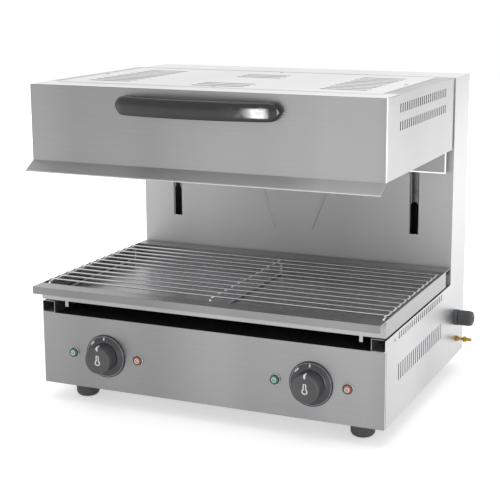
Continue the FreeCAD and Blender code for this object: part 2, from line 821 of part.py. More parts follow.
def shaft_bearings():
    body = new_part("shaft_bearings")
    for side in (LEFT, RIGHT):
        x = span(side, "bearing_x - bearing_width / 2", "bearing_x + bearing_width / 2")
        block(body, f"Block{side_name(side).title()}", x,
              ("pulley_y - bearing_half_depth", "pulley_y + bearing_half_depth"),
              ("pulley_z - bearing_drop", "guide_top"))
    start = ("-(bearing_x + bearing_width)", "pulley_y", "pulley_z")
    rod(body, "Bore", "X", start, "axle_radius + fit_gap", "2 * (bearing_x + bearing_width)", cut=True)


def cable_gland_body():
    body = new_part("cable_gland_body")
    inside = "inner_half - gland_lock"
    rod(body, "Lock", "X", (inside, "gland_y", "gland_z"), "gland_radius", "gland_lock")
    thread = "gland_lock + sheet + gland_thread_reach"
    rod(body, "Thread", "X", (inside, "gland_y", "gland_z"), "gland_thread_radius", thread)
    rod(body, "Flange", "X", ("half_width", "gland_y", "gland_z"), "gland_radius", "gland_flange")
    start = (f"{inside} - overrun", "gland_y", "gland_z")
    rod(body, "Bore", "X", start, "gland_thread_radius - gland_wall", f"{thread} + 2 * overrun", cut=True)


def cable_gland_nut():
    body = new_part("cable_gland_nut")
    start = "half_width + gland_flange + gland_gap"
    rod(body, "Nut", "X", (start, "gland_y", "gland_z"), "gland_radius - gland_gap",
        f"half_width + gland_reach - ({start})")
    round_edges(body, "Dome", "gland_rounding",
                lambda edge, shape: is_near(edge.BoundBox.XMin, shape.BoundBox.XMax))
    wall = ("half_width", "gland_y", "gland_z")
    rod(body, "Socket", "X", wall, "gland_thread_radius + fit_gap", "gland_thread_reach + running_gap", cut=True)
    rod(body, "Bore", "X", wall, "gland_bore", "gland_reach + overrun", cut=True)


def bonding_stud():
    body = new_part("bonding_stud")
    level = ("stud_y", "stud_z")
    rod(body, "Stud", "X", ("inner_half - stud_inside", *level), "stud_radius",
        "stud_inside + sheet + stud_reach")
    for label, place in (("Near", "half_width"), ("Far", "half_width + stud_nut_place")):
        rod(body, f"Nut{label}", "X", (place, *level), "stud_nut_radius", "stud_nut_height")


# Hood

def top_screw_places():
    """Where the four screws of the hood's top cover sit."""
    middle = "(cover_front + cover_back) / 2"
    side = "cover_half - top_screw_edge"
    return {
        "Left": (f"-({side})", middle), "Right": (side, middle),
        "Front": ("0", "cover_front + top_screw_edge"), "Back": ("0", "cover_back - top_screw_edge"),
    }


def top_screw_hole(body, label):
    start = (*top_screw_places()[label], "hood_top - sheet - overrun")
    rod(body, f"ScrewHole{label}", "Z", start, "screw_radius + fit_gap", "2 * sheet + 2 * overrun", cut=True)


def hood_front_panel():
    body = new_part("hood_front_panel")
    inner_y = "hood_front + sheet"
    under_y = "brow_tip_y + sheet * brow_drop / brow_length"
    under_z = "brow_tip_z - sheet * brow_reach / brow_length"
    inner_z = f"{under_z} + ({inner_y} - ({under_y})) * brow_drop / brow_reach"
    points = [
        ("top_front_edge", "hood_top"), ("hood_front", "hood_top"), ("hood_front", "hood_bottom"),
        ("brow_tip_y", "brow_tip_z"), (under_y, under_z), (inner_y, inner_z),
        (inner_y, "hood_top - sheet"), ("top_front_edge", "hood_top - sheet"),
    ]
    pad_across(body, "Panel", points, "2 * hood_half")
    round_edges(body, "Fold", "bend_radius", is_top_fold)
    start = ("-hood_half", f"(brow_tip_y + {under_y}) / 2", f"(brow_tip_z + {under_z}) / 2")
    rod(body, "Hem", "X", start, "hem_radius", "2 * hood_half")
    top_screw_hole(body, "Front")


def is_top_fold(edge, shape):
    """True for the long edge where the hood's face turns into its top."""
    box = edge.BoundBox
    across = is_near(box.YLength, 0) and is_near(box.ZLength, 0)
    top = is_near(box.ZMax, shape.BoundBox.ZMax)
    return across and top and box.YMax < 0


def hood_side(side):
    body = new_part(f"hood_side_{side_name(side)}")
    x = span(side, "hood_inner", "hood_half")
    block(body, "Wall", x, ("hood_front + sheet", "hood_back - sheet"), ("hood_bottom", "hood_top - sheet"))
    block(body, "TopFlange", span(side, "hood_half - top_flange_side", "hood_half"),
          ("top_front_edge", "top_back_edge"), ("hood_top - sheet", "hood_top"))
    block(body, "BottomFlange", span(side, "hood_half - return_width", "hood_inner"),
          ("hood_front + sheet", "hood_back - sheet"), ("hood_bottom", "hood_bottom + sheet"))
    for row, label in (("0", "Low"), ("hood_slot_row_spacing", "High")):
        low = f"hood_top - hood_slot_drop + {row}"
        slots_along_y(body, f"Slot{label}", side, "hood_half", "hood_front + hood_slot_start",
                      (low, f"{low} + hood_slot_height"),
                      "hood_slot_width", "hood_slot_count", "hood_slot_spacing")
    top_screw_hole(body, side_name(side).title())


def hanger_bolts(body, name, radius, start, length, cut=False):
    """The bolts, or their holes, that join the hood's back to its two carriages."""
    bolts = []
    for side in (LEFT, RIGHT):
        place = (mirrored(side, "guide_x"), start, "arm_top - hanger_bolt_drop")
        bolts.append(rod(body, f"{name}{side_name(side).title()}", "Y", place, radius, length, cut=cut))
    repeat(body, f"{name}Rows", bolts, "Z", "2", "hanger_bolt_spacing")


def hood_rear_panel():
    body = new_part("hood_rear_panel")
    y = ("hood_back - sheet", "hood_back")
    block(body, "Wall", ("-hood_half", "hood_half"), y, ("hood_bottom", "hood_top"))
    skirt = "hood_half - skirt_inset"
    block(body, "Skirt", (f"-({skirt})", skirt), y, ("skirt_bottom", "hood_bottom"))
    block(body, "TopFlange", ("-hood_half", "hood_half"), ("top_back_edge", "hood_back"),
          ("hood_top - sheet", "hood_top"))
    top_screw_hole(body, "Back")
    hanger_bolts(body, "BoltHole", "arm_bolt_shank + fit_gap", "hood_back - sheet - overrun",
                 "sheet + 2 * overrun", cut=True)


def hood_top_cover():
    body = new_part("hood_top_cover")
    block(body, "Plate", ("-cover_half", "cover_half"), ("cover_front", "cover_back"), ("hood_top", "lid_top"))
    z = ("hood_top - overrun", "lid_top + overrun")
    vents = []
    first = "cover_front + side_vent_start"
    for side in (LEFT, RIGHT):
        outer = "cover_half - side_vent_inset"
        x = span(side, f"{outer} - side_vent_length", outer)
        y = (first, f"{first} + vent_width")
        vents.append(block(body, f"Vent{side_name(side).title()}", x, y, z, cut=True))
    repeat(body, "SideVents", vents, "Y", "side_vent_count", "vent_spacing")
    for label, half, low in (("Front", "middle_vent_half", "cover_front + middle_vent_start"),
                             ("Back", "back_middle_vent_half", "cover_back - back_middle_vent_end")):
        vent = block(body, f"{label}Vent", (f"-{half}", half), (low, f"{low} + vent_width"), z, cut=True)
        repeat(body, f"{label}Vents", [vent], "Y", "middle_vent_count", "vent_spacing")
    for label in top_screw_places():
        top_screw_hole(body, label)


def hood_cover_screws():
    body = new_part("hood_cover_screws")
    for label, (x, y) in top_screw_places().items():
        rod(body, f"Head{label}", "Z", (x, y, "lid_top"), "screw_head_radius", "screw_head_height")
        rod(body, f"Shank{label}", "Z", (x, y, "lid_top - screw_length"), "screw_radius", "screw_length")


def hood_handle():
    body = new_part("hood_handle")
    z = ("handle_z - handle_height / 2", "handle_z + handle_height / 2")
    half = "handle_length / 2"
    block(body, "Bar", (f"-{half}", half), ("handle_front", "hood_front"), z)
    inner = f"{half} - handle_leg"
    block(body, "FingerGap", (f"-({inner})", inner), ("handle_front + handle_grip", "hood_front + overrun"),
          (f"{z[0]} - overrun", f"{z[1]} + overrun"), cut=True)
    round_edges(body, "Corners", "handle_corner", front_corner)
    round_edges(body, "InnerCorners", "handle_inner_corner", is_gap_corner)
    round_edges(body, "Edges", "handle_edge", is_rim_edge)


def is_gap_corner(edge, shape):
    """True for the upright edges at the bottom of the finger gap."""
    box = edge.BoundBox
    upright = is_near(box.XLength, 0) and is_near(box.YLength, 0)
    inside = box.XMin > shape.BoundBox.XMin and box.XMax < shape.BoundBox.XMax
    at_leg = is_near(abs(box.Center.x), SIZES["handle_length"] / 2 - SIZES["handle_leg"])
    return upright and inside and at_leg and box.YMax < shape.BoundBox.YMax - SIZES["overrun"]


def is_rim_edge(edge, shape):
    """True for the edges round the handle's upper and lower faces, except where it meets the hood."""
    box = edge.BoundBox
    level = is_near(box.ZLength, 0)
    at_hood = is_near(box.YMin, shape.BoundBox.YMax)
    return level and not at_hood


def element_x(side, leg):
    """Where a leg of the heating element lies, counted from the middle of the hood."""
    return mirrored(side, f"element_middle_gap + element_spacing * {leg}")


def reflector():
    body = new_part("reflector")
    low = "hood_bottom + sheet"
    block(body, "Rim", ("-hood_inner", "hood_inner"), ("hood_front + sheet", "hood_back - sheet"),
          (low, f"{low} + sheet"))
    outer = "recess_half + sheet"
    block(body, "Box", (f"-({outer})", outer), ("recess_low_y - sheet", "recess_high_y + sheet"),
          (low, "recess_top"))
    block(body, "Recess", ("-recess_half", "recess_half"), ("recess_low_y", "recess_high_y"),
          (f"{low} - overrun", "recess_top - sheet"), cut=True)
    first = "element_front + comb_inset"
    end = "recess_half - comb_end"
    comb = block(body, "Comb", (f"-({end})", end), (first, f"{first} + comb_sheet"),
                 (f"{low} + comb_rise", "recess_top - sheet"))
    repeat(body, "Combs", [comb], "Y", "2", "comb_spacing")
    for side in (LEFT, RIGHT):
        hand = side_name(side).title()
        for leg in range(ELEMENT_LEGS):
            rod(body, f"Seat{hand}{leg}", "Y", (element_x(side, leg), f"{first} - overrun", "element_z"),
                "element_radius + running_gap", "comb_spacing + comb_sheet + 2 * overrun", cut=True)
        for leg in (0, ELEMENT_LEGS - 1):
            start = (element_x(side, leg), "element_back + element_stub", "recess_top - sheet - overrun")
            rod(body, f"TerminalHole{hand}{leg}", "Z", start, "element_radius + running_gap",
                "sheet + 2 * overrun", cut=True)


def heating_element(side):
    """Straight legs joined by half rings, with both ends turned up at the back."""
    body = new_part(f"heating_element_{side_name(side)}")
    ends = (0, ELEMENT_LEGS - 1)
    for leg in range(ELEMENT_LEGS):
        length = "element_back - element_front" + (" + element_stub" if leg in ends else "")
        start = (element_x(side, leg), "element_front", "element_z")
        rod(body, f"Leg{leg}", "Y", start, "element_radius", length)
    for leg in range(ELEMENT_LEGS - 1):
        at_front = leg % 2 == 0
        middle = f"({element_x(side, leg)} + {element_x(side, leg + 1)}) / 2"
        centre = (middle, "element_front" if at_front else "element_back", "element_z")
        half_turn = FreeCAD.Rotation(FreeCAD.Vector(0, 0, 1), 180 if at_front else 0)
        bend(body, f"Bend{leg}", centre, "element_spacing / 2", "element_radius", half_turn)
    for leg in ends:
        start = (element_x(side, leg), "element_back + element_stub", "element_z - element_radius")
        rod(body, f"Terminal{leg}", "Z", start, "element_radius", "element_terminal + element_radius")


# Lift

def carriage(side):
    body = new_part(f"carriage_{side_name(side)}")
    x = span(side, "guide_x - arm_half", "guide_x + arm_half")
    z = ("arm_bottom", "arm_top")
    hanger_z = ("skirt_bottom", "arm_top")
    block(body, "Web", x, ("arm_back - arm_sheet", "arm_back"), z)
    for label, low, high in (("Inner", "guide_x - arm_half", "guide_x - arm_half + arm_sheet"),
                             ("Outer", "guide_x + arm_half - arm_sheet", "guide_x + arm_half")):
        block(body, f"{label}Flange", span(side, low, high), ("arm_front", "arm_back"), z)
        block(body, f"{label}Hanger", span(side, low, high), ("hood_back", "arm_front"), hanger_z)
    block(body, "HangerPlate", x, ("hood_back", "hood_back + arm_sheet"), hanger_z)
    housing_x = span(side, "guide_x - housing_half", "guide_x + housing_half")
    for label, low in (("Low", "low_housing"), ("High", "high_housing")):
        block(body, f"{label}Housing", housing_x, ("arm_back", "guide_y + housing_back"),
              (low, f"{low} + housing_height"))
    start = (mirrored(side, "guide_x"), "guide_y", "arm_bottom")
    rod(body, "Bore", "Z", start, "bush_radius + fit_gap", "arm_top - arm_bottom", cut=True)
    block(body, "Lug", span(side, "pulley_x - lug_inset", "guide_x - arm_half"),
          ("hood_cable_y - lug_half_depth", "hood_cable_y + lug_half_depth"),
          ("lug_top - lug_height", "lug_top"))
    bolt_start = (mirrored(side, "guide_x"), "hood_back - overrun", "arm_top - hanger_bolt_drop")
    bolt = rod(body, "BoltHole", "Y", bolt_start, "arm_bolt_shank + fit_gap", "overrun + 2 * arm_sheet",
               cut=True)
    repeat(body, "BoltHoles", [bolt], "Z", "2", "hanger_bolt_spacing")


def guide_bushes():
    body = new_part("guide_bushes")
    for side in (LEFT, RIGHT):
        hand = side_name(side).title()
        x = mirrored(side, "guide_x")
        for label, low in (("Low", "low_housing"), ("High", "high_housing")):
            rod(body, f"{label}{hand}", "Z", (x, "guide_y", low), "bush_radius", "housing_height")
        rod(body, f"Bore{hand}", "Z", (x, "guide_y", "arm_bottom"), "guide_radius + fit_gap",
            "arm_top - arm_bottom", cut=True)


def carriage_bolts():
    body = new_part("carriage_bolts")
    hanger_bolts(body, "HangerHead", "arm_bolt_radius", "hood_back + arm_sheet", "arm_bolt_head")
    hanger_bolts(body, "HangerShank", "arm_bolt_shank", "hood_back - sheet - hanger_bolt_length",
                 "hanger_bolt_length + sheet + arm_sheet")
    for side in (LEFT, RIGHT):
        y, z = "arm_back - arm_sheet - arm_bolt_head", "arm_bottom + arm_bolt_rise"
        start = (mirrored(side, "guide_x"), y, z)
        rod(body, f"ArmHead{side_name(side).title()}", "Y", start, "arm_bolt_radius", "arm_bolt_head")


def pulley_shaft():
    body = new_part("pulley_shaft")
    half = "pulley_x + pulley_width / 2 + axle_end"
    rod(body, "Axle", "X", (f"-({half})", "pulley_y", "pulley_z"), "axle_radius", f"2 * ({half})")
    rim = "pulley_radius + pulley_rim"
    groove = "pulley_radius - cable_radius - running_gap"
    half_width, half_groove = "pulley_width / 2", "(cable_radius + running_gap)"
    points = [("0", f"-{half_width}"), (rim, f"-{half_width}"), (rim, f"pulley_edge - {half_width}"),
              (groove, f"-{half_groove}"), (groove, half_groove), (rim, f"{half_width} - pulley_edge"),
              (rim, half_width), ("0", half_width)]
    for side in (LEFT, RIGHT):
        centre = (mirrored(side, "pulley_x"), "pulley_y", "pulley_z")
        turned(body, f"Pulley{side_name(side).title()}", "X", points, centre)


def cable_run(name, y, low):
    """The two straight cables that hang from the pulleys at one depth."""
    body = new_part(name)
    for side in (LEFT, RIGHT):
        start = (mirrored(side, "pulley_x"), y, low)
        rod(body, f"Cable{side_name(side).title()}", "Z", start, "cable_radius", f"pulley_z - ({low})")


def cable_wraps():
    body = new_part("cable_wraps")
    over_the_top = FreeCAD.Rotation(FreeCAD.Vector(1, 1, 1), 120)
    for side in (LEFT, RIGHT):
        centre = (mirrored(side, "pulley_x"), "pulley_y", "pulley_z")
        bend(body, f"Wrap{side_name(side).title()}", centre, "pulley_radius", "cable_radius", over_the_top)


def counterweight():
    body = new_part("counterweight")
    half = "pulley_x + weight_end"
    block(body, "Bar", (f"-({half})", half),
          ("weight_cable_y - weight_half_depth", "weight_cable_y + weight_half_depth"),
          ("weight_bottom", "weight_top"))
    for side in (LEFT, RIGHT):
        hand = side_name(side).title()
        start = (mirrored(side, "weight_guide_x"), "weight_cable_y", "weight_bottom - overrun")
        rod(body, f"Bore{hand}", "Z", start, "weight_guide_radius + fit_gap", "weight_height + 2 * overrun",
            cut=True)
        eye = (mirrored(side, "pulley_x"), "weight_cable_y", "weight_top")
        rod(body, f"Eye{hand}", "Z", eye, "eye_radius", "eye_height")


# Tray and rack

def tray():
    body = new_part("tray")
    x = ("-half_width", "half_width")
    block(body, "Pan", x, ("0", "tray_depth"), ("tray_bottom", "tray_top"))
    block(body, "Hollow", ("-inner_half", "inner_half"), ("sheet", "tray_depth - sheet"),
          ("tray_bottom + sheet", "tray_top + overrun"), cut=True)
    lip_z, drop_z = ("tray_top - sheet", "tray_top"), ("tray_top - lip_drop", "tray_top")
    block(body, "FrontLip", x, ("-lip_reach", "0"), lip_z)
    block(body, "FrontDrop", x, ("-lip_reach", "sheet - lip_reach"), drop_z)
    back = "case_depth - back_lip_gap"
    block(body, "BackLip", x, ("tray_depth", back), lip_z)
    block(body, "BackDrop", x, (f"{back} - sheet", back), drop_z)
    for side in (LEFT, RIGHT):
        hand = side_name(side).title()
        outer = "half_width - runner_inset"
        block(body, f"Runner{hand}", span(side, f"{outer} - runner_width", outer),
              ("runner_end", "tray_depth - runner_end / 2"), ("rail_top + running_gap", "tray_bottom"))
        middle = "half_width - stop_inset"
        block(body, f"Stop{hand}", span(side, f"{middle} - stop_width / 2", f"{middle} + stop_width / 2"),
              ("stop_back", "stop_back + sheet"), ("tray_bottom - stop_drop", "tray_bottom"))


def rack_wires():
    body = new_part("rack_wires")
    half = "inner_half - rack_margin + sheet"
    z = "frame_z + frame_radius + wire_radius + fit_gap / 2"
    wire = rod(body, "Wire", "X", (f"-({half})", "wire_start", z), "wire_radius", f"2 * ({half})")
    repeat(body, "Wires", [wire], "Y", "wire_count", "wire_spacing")


def rack_frame(name, x):
    body = new_part(f"rack_frame_{name}")
    depth = "frame_back - frame_front"
    rod(body, "TopBar", "Y", (x, "frame_front", "frame_z"), "frame_radius", depth)
    rod(body, "FootBar", "Y", (x, "frame_front", "frame_foot_z"), "frame_radius", depth)
    for label, y in (("Front", "frame_front + frame_radius"), ("Back", "frame_back - frame_radius")):
        rod(body, f"{label}Leg", "Z", (x, y, "frame_foot_z"), "frame_radius", "frame_z - frame_foot_z")


def cable_ends():
    cable_run("hood_cables", "hood_cable_y", "lug_top")
    cable_run("weight_cables", "weight_cable_y", "weight_top + eye_height")


def build_base():
    base_front_panel()
    base_bottom_plate()
    base_top_plate()
    for side in (LEFT, RIGHT):
        base_side(side)
        foot(side, "front", "foot_front_inset")
        foot(side, "rear", "column_back - foot_back_inset")
        rail(side)
        rail_cover(side)
        knob_bezel(side)
        knob(side)
        thermostat(side)
    rail_cover_screws()
    lamps("power")
    lamps("heat")
    lamp_rims()
    terminal_block()


def build_column():
    column_shell()
    column_back_cover()
    column_top_cap()
    back_cover_screws()
    guide_rods()
    weight_guide_rods()
    guide_bracket("top", "guide_top", "guide_top + bracket_plate", "guide_top - return_width", "guide_top")
    guide_bracket("bottom", "base_top", "guide_bottom", "base_top - return_width", "base_top")
    shaft_bearings()
    cable_gland_body()
    cable_gland_nut()
    bonding_stud()


def build_hood():
    hood_front_panel()
    hood_rear_panel()
    hood_top_cover()
    hood_cover_screws()
    hood_handle()
    reflector()
    for side in (LEFT, RIGHT):
        hood_side(side)
        heating_element(side)


def build_lift():
    carriage(LEFT)
    carriage(RIGHT)
    guide_bushes()
    carriage_bolts()
    pulley_shaft()
    cable_ends()
    cable_wraps()
    counterweight()


def build_tray():
    tray()
    rack_wires()
    rack_frame("left", "frame_side_inset - half_width")
    rack_frame("middle", "frame_middle")
    rack_frame("right", "half_width - frame_side_inset")


def check(document):
    for thing in document.Objects:
        if "Invalid" in thing.State or "Error" in thing.State:
            raise RuntimeError(f"{thing.Name} could not be computed: {thing.State}")
    for body in parts:
        if body.Shape.isNull() or not body.Shape.isValid():
            raise RuntimeError(f"{body.Label} has no valid shape")


build_base()
build_column()
build_hood()
build_lift()
build_tray()
doc.recompute()
check(doc)
os.makedirs("parts", exist_ok=True)
for body in parts:
    body.Shape.exportStep(os.path.join("parts", body.Label + ".step"))
    box = body.Shape.BoundBox
    print(f"{body.Label}: {len(body.Shape.Solids)} solids, {body.Shape.Volume / 1000:.1f} cm3, "
          f"x {box.XMin:.1f} to {box.XMax:.1f}, y {box.YMin:.1f} to {box.YMax:.1f}, "
          f"z {box.ZMin:.1f} to {box.ZMax:.1f}")
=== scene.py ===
"""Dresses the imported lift-hood grill: broken sheet edges, brushed steel, dials, lamps, rack and studio."""
import json
import math

import bmesh
import bpy
from mathutils import Euler, Matrix, Vector

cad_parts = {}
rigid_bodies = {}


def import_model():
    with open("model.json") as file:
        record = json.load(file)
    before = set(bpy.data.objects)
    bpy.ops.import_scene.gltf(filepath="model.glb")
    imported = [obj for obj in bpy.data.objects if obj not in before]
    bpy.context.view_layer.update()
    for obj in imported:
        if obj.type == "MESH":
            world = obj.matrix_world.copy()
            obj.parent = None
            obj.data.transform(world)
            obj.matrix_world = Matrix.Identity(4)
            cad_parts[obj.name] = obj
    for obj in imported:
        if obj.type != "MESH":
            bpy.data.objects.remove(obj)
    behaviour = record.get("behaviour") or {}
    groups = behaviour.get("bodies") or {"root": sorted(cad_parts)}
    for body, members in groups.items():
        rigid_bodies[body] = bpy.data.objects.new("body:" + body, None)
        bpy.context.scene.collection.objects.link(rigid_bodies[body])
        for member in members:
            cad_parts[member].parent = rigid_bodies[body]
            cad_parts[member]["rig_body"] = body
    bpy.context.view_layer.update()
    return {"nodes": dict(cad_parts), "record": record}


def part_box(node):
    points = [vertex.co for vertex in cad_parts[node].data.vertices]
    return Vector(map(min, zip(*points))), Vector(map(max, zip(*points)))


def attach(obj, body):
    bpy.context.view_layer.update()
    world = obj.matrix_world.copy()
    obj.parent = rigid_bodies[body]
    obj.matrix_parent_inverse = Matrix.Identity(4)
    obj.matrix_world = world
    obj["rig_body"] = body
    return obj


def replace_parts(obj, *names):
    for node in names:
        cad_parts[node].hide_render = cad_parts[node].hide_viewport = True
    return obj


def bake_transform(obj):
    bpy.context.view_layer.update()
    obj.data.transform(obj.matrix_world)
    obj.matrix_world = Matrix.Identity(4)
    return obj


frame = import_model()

MM = 0.001
LEFT = -1
RIGHT = 1
SIDES = (LEFT, RIGHT)
NODES = frame["nodes"]
SLOTS = {part["node"]: part["material_slot"] for part in frame["record"]["subparts"]}


def level(node, end):
    """The height of a CAD piece's foot, 0, or top, 1, in mm."""
    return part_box(node)[end].z / MM


def middle(node):
    """The middle of a CAD piece's box."""
    low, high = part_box(node)
    return (low + high) / 2


# Measures in mm, counted from the middle of the base's front.
SHEET = 1.2
WALL_X = 300
DIAL_X = 181
LAMP_STEP = 60
GUIDE_X = 231
SLOT_HALF = 8.5
# The tray's floor above its lowest edge.
TRAY_FLOOR_RISE = 13.2

front_low, front_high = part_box("base_front_panel")
ORIGIN = ((front_low.x + front_high.x) / 2 / MM, front_low.y / MM)
BASE_BOTTOM, BASE_TOP = level("base_front_panel", 0), level("base_front_panel", 1)
LID_TOP = level("hood_top_cover", 1)
HOOD_TOP = LID_TOP - SHEET
HOOD_BOTTOM = level("hood_side_left", 0)
BROW_TIP = level("hood_front_panel", 0)
SKIRT_BOTTOM = level("hood_rear_panel", 0)
ARM_BOTTOM, ARM_TOP = level("carriage_left", 0), level("carriage_left", 1)
RACK_TOP = level("rack_wires", 1)
TRAY_FLOOR = level("tray", 0) + TRAY_FLOOR_RISE


# The camera that the photograph was taken with, fitted to the corners of the casing, and the white studio.
PHOTO_PIXELS = 500
FOCAL_PIXELS = 1248.4
CENTRE_PIXELS = (277.2, 224.3)
CAMERA_PLACE = (830.4, -1901.9, 718.6)
CAMERA_AZIMUTH = 23.009
CAMERA_ELEVATION = 11.721
CAMERA_ROLL = -0.12
SENSOR_WIDTH = 36.0
WORLD_STRENGTH = 0.76
FLOOR_RADIUS = 6.0

# Edges and wires
EDGE = 0.35 * MM
FOLD_EDGE = 0.5 * MM
SMALL_EDGE = 0.25 * MM
SMOOTH_ANGLE = math.radians(32)
NARROW_FACE = 0.36 * MM

# The rack, in mm: cross wires from the front to the back, on three frames of bent wire.
WIRE_RADIUS = 1.5
WIRE_HALF = 296
WIRE_START = 20.5
WIRE_PITCH = 24.7
WIRE_COUNT = 12
FRAME_RADIUS = 2.0
FRAME_COLUMNS = (-292, 5, 292)
FRAME_DEPTH = 291
FRAME_MIDDLE = 155.5
FRAME_GAP = 0.3

# The handle, in mm: two legs and a bowed grip. DROP is how far its middle lies below the hood's top.
HANDLE_HALF = 139.5
HANDLE_LEG = 38.0
HANDLE_FRONT = -46.0
HANDLE_FOOT = -9.6
HANDLE_GRIP = 14.0
HANDLE_RISE = 14.5
HANDLE_DROP = 26.6
HANDLE_CORNER = 16.0
HANDLE_INNER_CORNER = 8.0
HANDLE_BOW = 21.0
HANDLE_SIDES = 48
HANDLE_ROUNDNESS = 3.2


# Materials

def linear(code):
    """An sRGB hex colour as the linear one that a shader takes."""
    shares = [int(code[i:i + 2], 16) / 255 for i in (1, 3, 5)]
    return [c / 12.92 if c <= 0.04045 else ((c + 0.055) / 1.055) ** 2.4 for c in shares] + [1.0]


def link(tree, source, target):
    """Links a socket, or the first one of a node, to an input."""
    tree.links.new(source.outputs[0] if isinstance(source, bpy.types.Node) else source, target)


def add_node(tree, kind, inputs=None, **settings):
    """Adds a node; an input given as a socket or a node is linked, and any other value is set."""
    node = tree.nodes.new(kind)
    for name, value in settings.items():
        setattr(node, name, value)
    for name, value in (inputs or {}).items():
        if isinstance(value, (bpy.types.Node, bpy.types.NodeSocket)):
            link(tree, value, node.inputs[name])
        else:
            node.inputs[name].default_value = value
    return node


def new_material(name, colour, roughness, metallic=0.0, **sockets):
    """A material with one Principled shader, whose even values are set on its own sockets."""
    material = bpy.data.materials.new(name)
    material.use_nodes = True
    shader = material.node_tree.nodes["Principled BSDF"]
    shader.inputs["Base Color"].default_value = linear(colour)
    shader.inputs["Roughness"].default_value = roughness
    shader.inputs["Metallic"].default_value = metallic
    for socket, value in sockets.items():
        shader.inputs[socket.replace("_", " ")].default_value = value
    return material, material.node_tree, shader


def own_place(tree):
    return add_node(tree, "ShaderNodeTexCoord").outputs["Object"]


def pattern(tree, per_metre, detail=2.0, roughness=0.5):
    """Noise on the object's own coordinates, with so many features a metre along x, y and z."""
    stretched = add_node(tree, "ShaderNodeVectorMath", {
        0: own_place(tree), 1: per_metre}, operation="MULTIPLY")
    noise = add_node(tree, "ShaderNodeTexNoise", {
        "Vector": stretched, "Scale": 1.0, "Detail": detail, "Roughness": roughness})
    return noise.outputs["Fac"]


def between(tree, share, low, high, share_low=0.3, share_high=0.7):
    """A value that runs from low to high as the share does."""
    spread = add_node(tree, "ShaderNodeMapRange", {
        "Value": share, "From Min": share_low, "From Max": share_high, "To Min": low, "To Max": high})
    return spread.outputs["Result"]


def shaded(tree, share, dark, light):
    """A colour that runs from dark to light as the share does."""
    mix = add_node(tree, "ShaderNodeMix", {"Factor": share, "A": linear(dark), "B": linear(light)},
                   data_type="RGBA")
    return mix.outputs["Result"]


def relief(tree, shader, height, depth, strength=1.0):
    """Raises the surface where the height share is high, by at most the depth."""
    bump = add_node(tree, "ShaderNodeBump", {"Height": height, "Distance": depth, "Strength": strength})
    link(tree, bump.outputs["Normal"], shader.inputs["Normal"])


def tinted(tree, shader, share, dark, light, roughness):
    """Runs a shader's colour and roughness with one share."""
    link(tree, shaded(tree, share, dark, light), shader.inputs["Base Color"])
    link(tree, between(tree, share, *roughness), shader.inputs["Roughness"])


# A belt leaves lines 0.1 mm apart and about 60 mm long. Half a millimetre is as fine as shows here.
# Each direction has the lines and the slow bands of painted sheen across them, in features a metre.
ACROSS = ((12, 1900, 1900), (6.5, 1.2, 0.6))
DEEP = ((1900, 12, 1900), (0.6, 5.0, 1.5))
COARSE = (0.5, 0.62)


def brushed_steel(name, dark, light, roughness=(0.30, 0.44), direction=ACROSS):
    """Stainless sheet rubbed with a belt: fine lines one way, and slow bands of painted sheen across them, a
    painted reflection that the lines would stretch.
    """
    material, tree, shader = new_material(name, light, roughness[0], 1.0)
    line = pattern(tree, direction[0], 3.0, 0.6)
    band = pattern(tree, direction[1], 1.0, 0.4)
    shares = {0: between(tree, band, 0.0, 0.78), 1: between(tree, line, -0.12, 0.22)}
    tone = add_node(tree, "ShaderNodeMath", shares, operation="ADD", use_clamp=True)
    link(tree, shaded(tree, tone, dark, light), shader.inputs["Base Color"])
    link(tree, between(tree, line, *roughness), shader.inputs["Roughness"])
    relief(tree, shader, line, 0.05 * MM, 0.35)
    return material


# Satin stainless on the fronts: an even mid grey that turns lighter and darker in slow upright bands, which
# are a painted reflection.
steel_front = brushed_steel("satin_stainless_front", "#858586", "#a2a2a3")
# The column is the same sheet, rubbed coarser, so that it spreads the little light between hood and tray; its
# colour is painted lighter than the fronts' to make up for the shade that falls there.
steel_column = brushed_steel("satin_stainless_column", "#b0b0b1", "#c8c8c9", (0.58, 0.72))
steel_tray = brushed_steel("satin_stainless_tray", "#9a9a9b", "#b2b2b3")
# The same sheet on the sides and the top, where it meets the light flat on and looks nearly white.
steel_side = brushed_steel("satin_stainless_side", "#bfbfc0", "#d1d1d2", direction=DEEP)
# The hood's brow and the tray's lip are coarse as well and spread what they mirror; the brow is painted a
# little lighter than the fronts as painted light, and the lip darker than the tray as painted shade.
steel_brow = brushed_steel("satin_stainless_brow", "#929293", "#acacad", COARSE)
steel_lip = brushed_steel("satin_stainless_lip", "#868687", "#9e9e9f", COARSE)
# The hood's sides are the same sheet painted a little darker than the base's: painted shade.
steel_hood_side = brushed_steel("satin_stainless_hood_side", "#aeaeaf", "#c1c1c2", direction=DEEP)
# The top is the same sheet painted lighter still: painted light where it faces up.
steel_top = brushed_steel("satin_stainless_top", "#dcdcdd", "#ebebec")
# The flaps behind the top's slots lie in shade, so the same sheet looks a soft grey there.
steel_louvre = brushed_steel("satin_stainless_louvre", "#9c9c9d", "#b0b0b1")
# Sheared and deburred edges of the same sheet, painted near white: a painted highlight along each edge.
edge_highlight_steel = brushed_steel("stainless_edge_painted_highlight", "#f0f0f0", "#fafafa", (0.2, 0.3))


def bright_rolled_steel():
    """The tray's floor is bright rolled sheet: nearly a mirror, with faint rolling lines and wipe marks."""
    material, tree, shader = new_material("bright_rolled_stainless", "#b4b4b5", 0.25, 1.0)
    tinted(tree, shader, pattern(tree, (9, 60, 9), 4.0, 0.6), "#a2a2a3", "#c2c2c3", (0.2, 0.34))
    relief(tree, shader, pattern(tree, (5, 700, 700)), 0.02 * MM, 0.25)
    return material


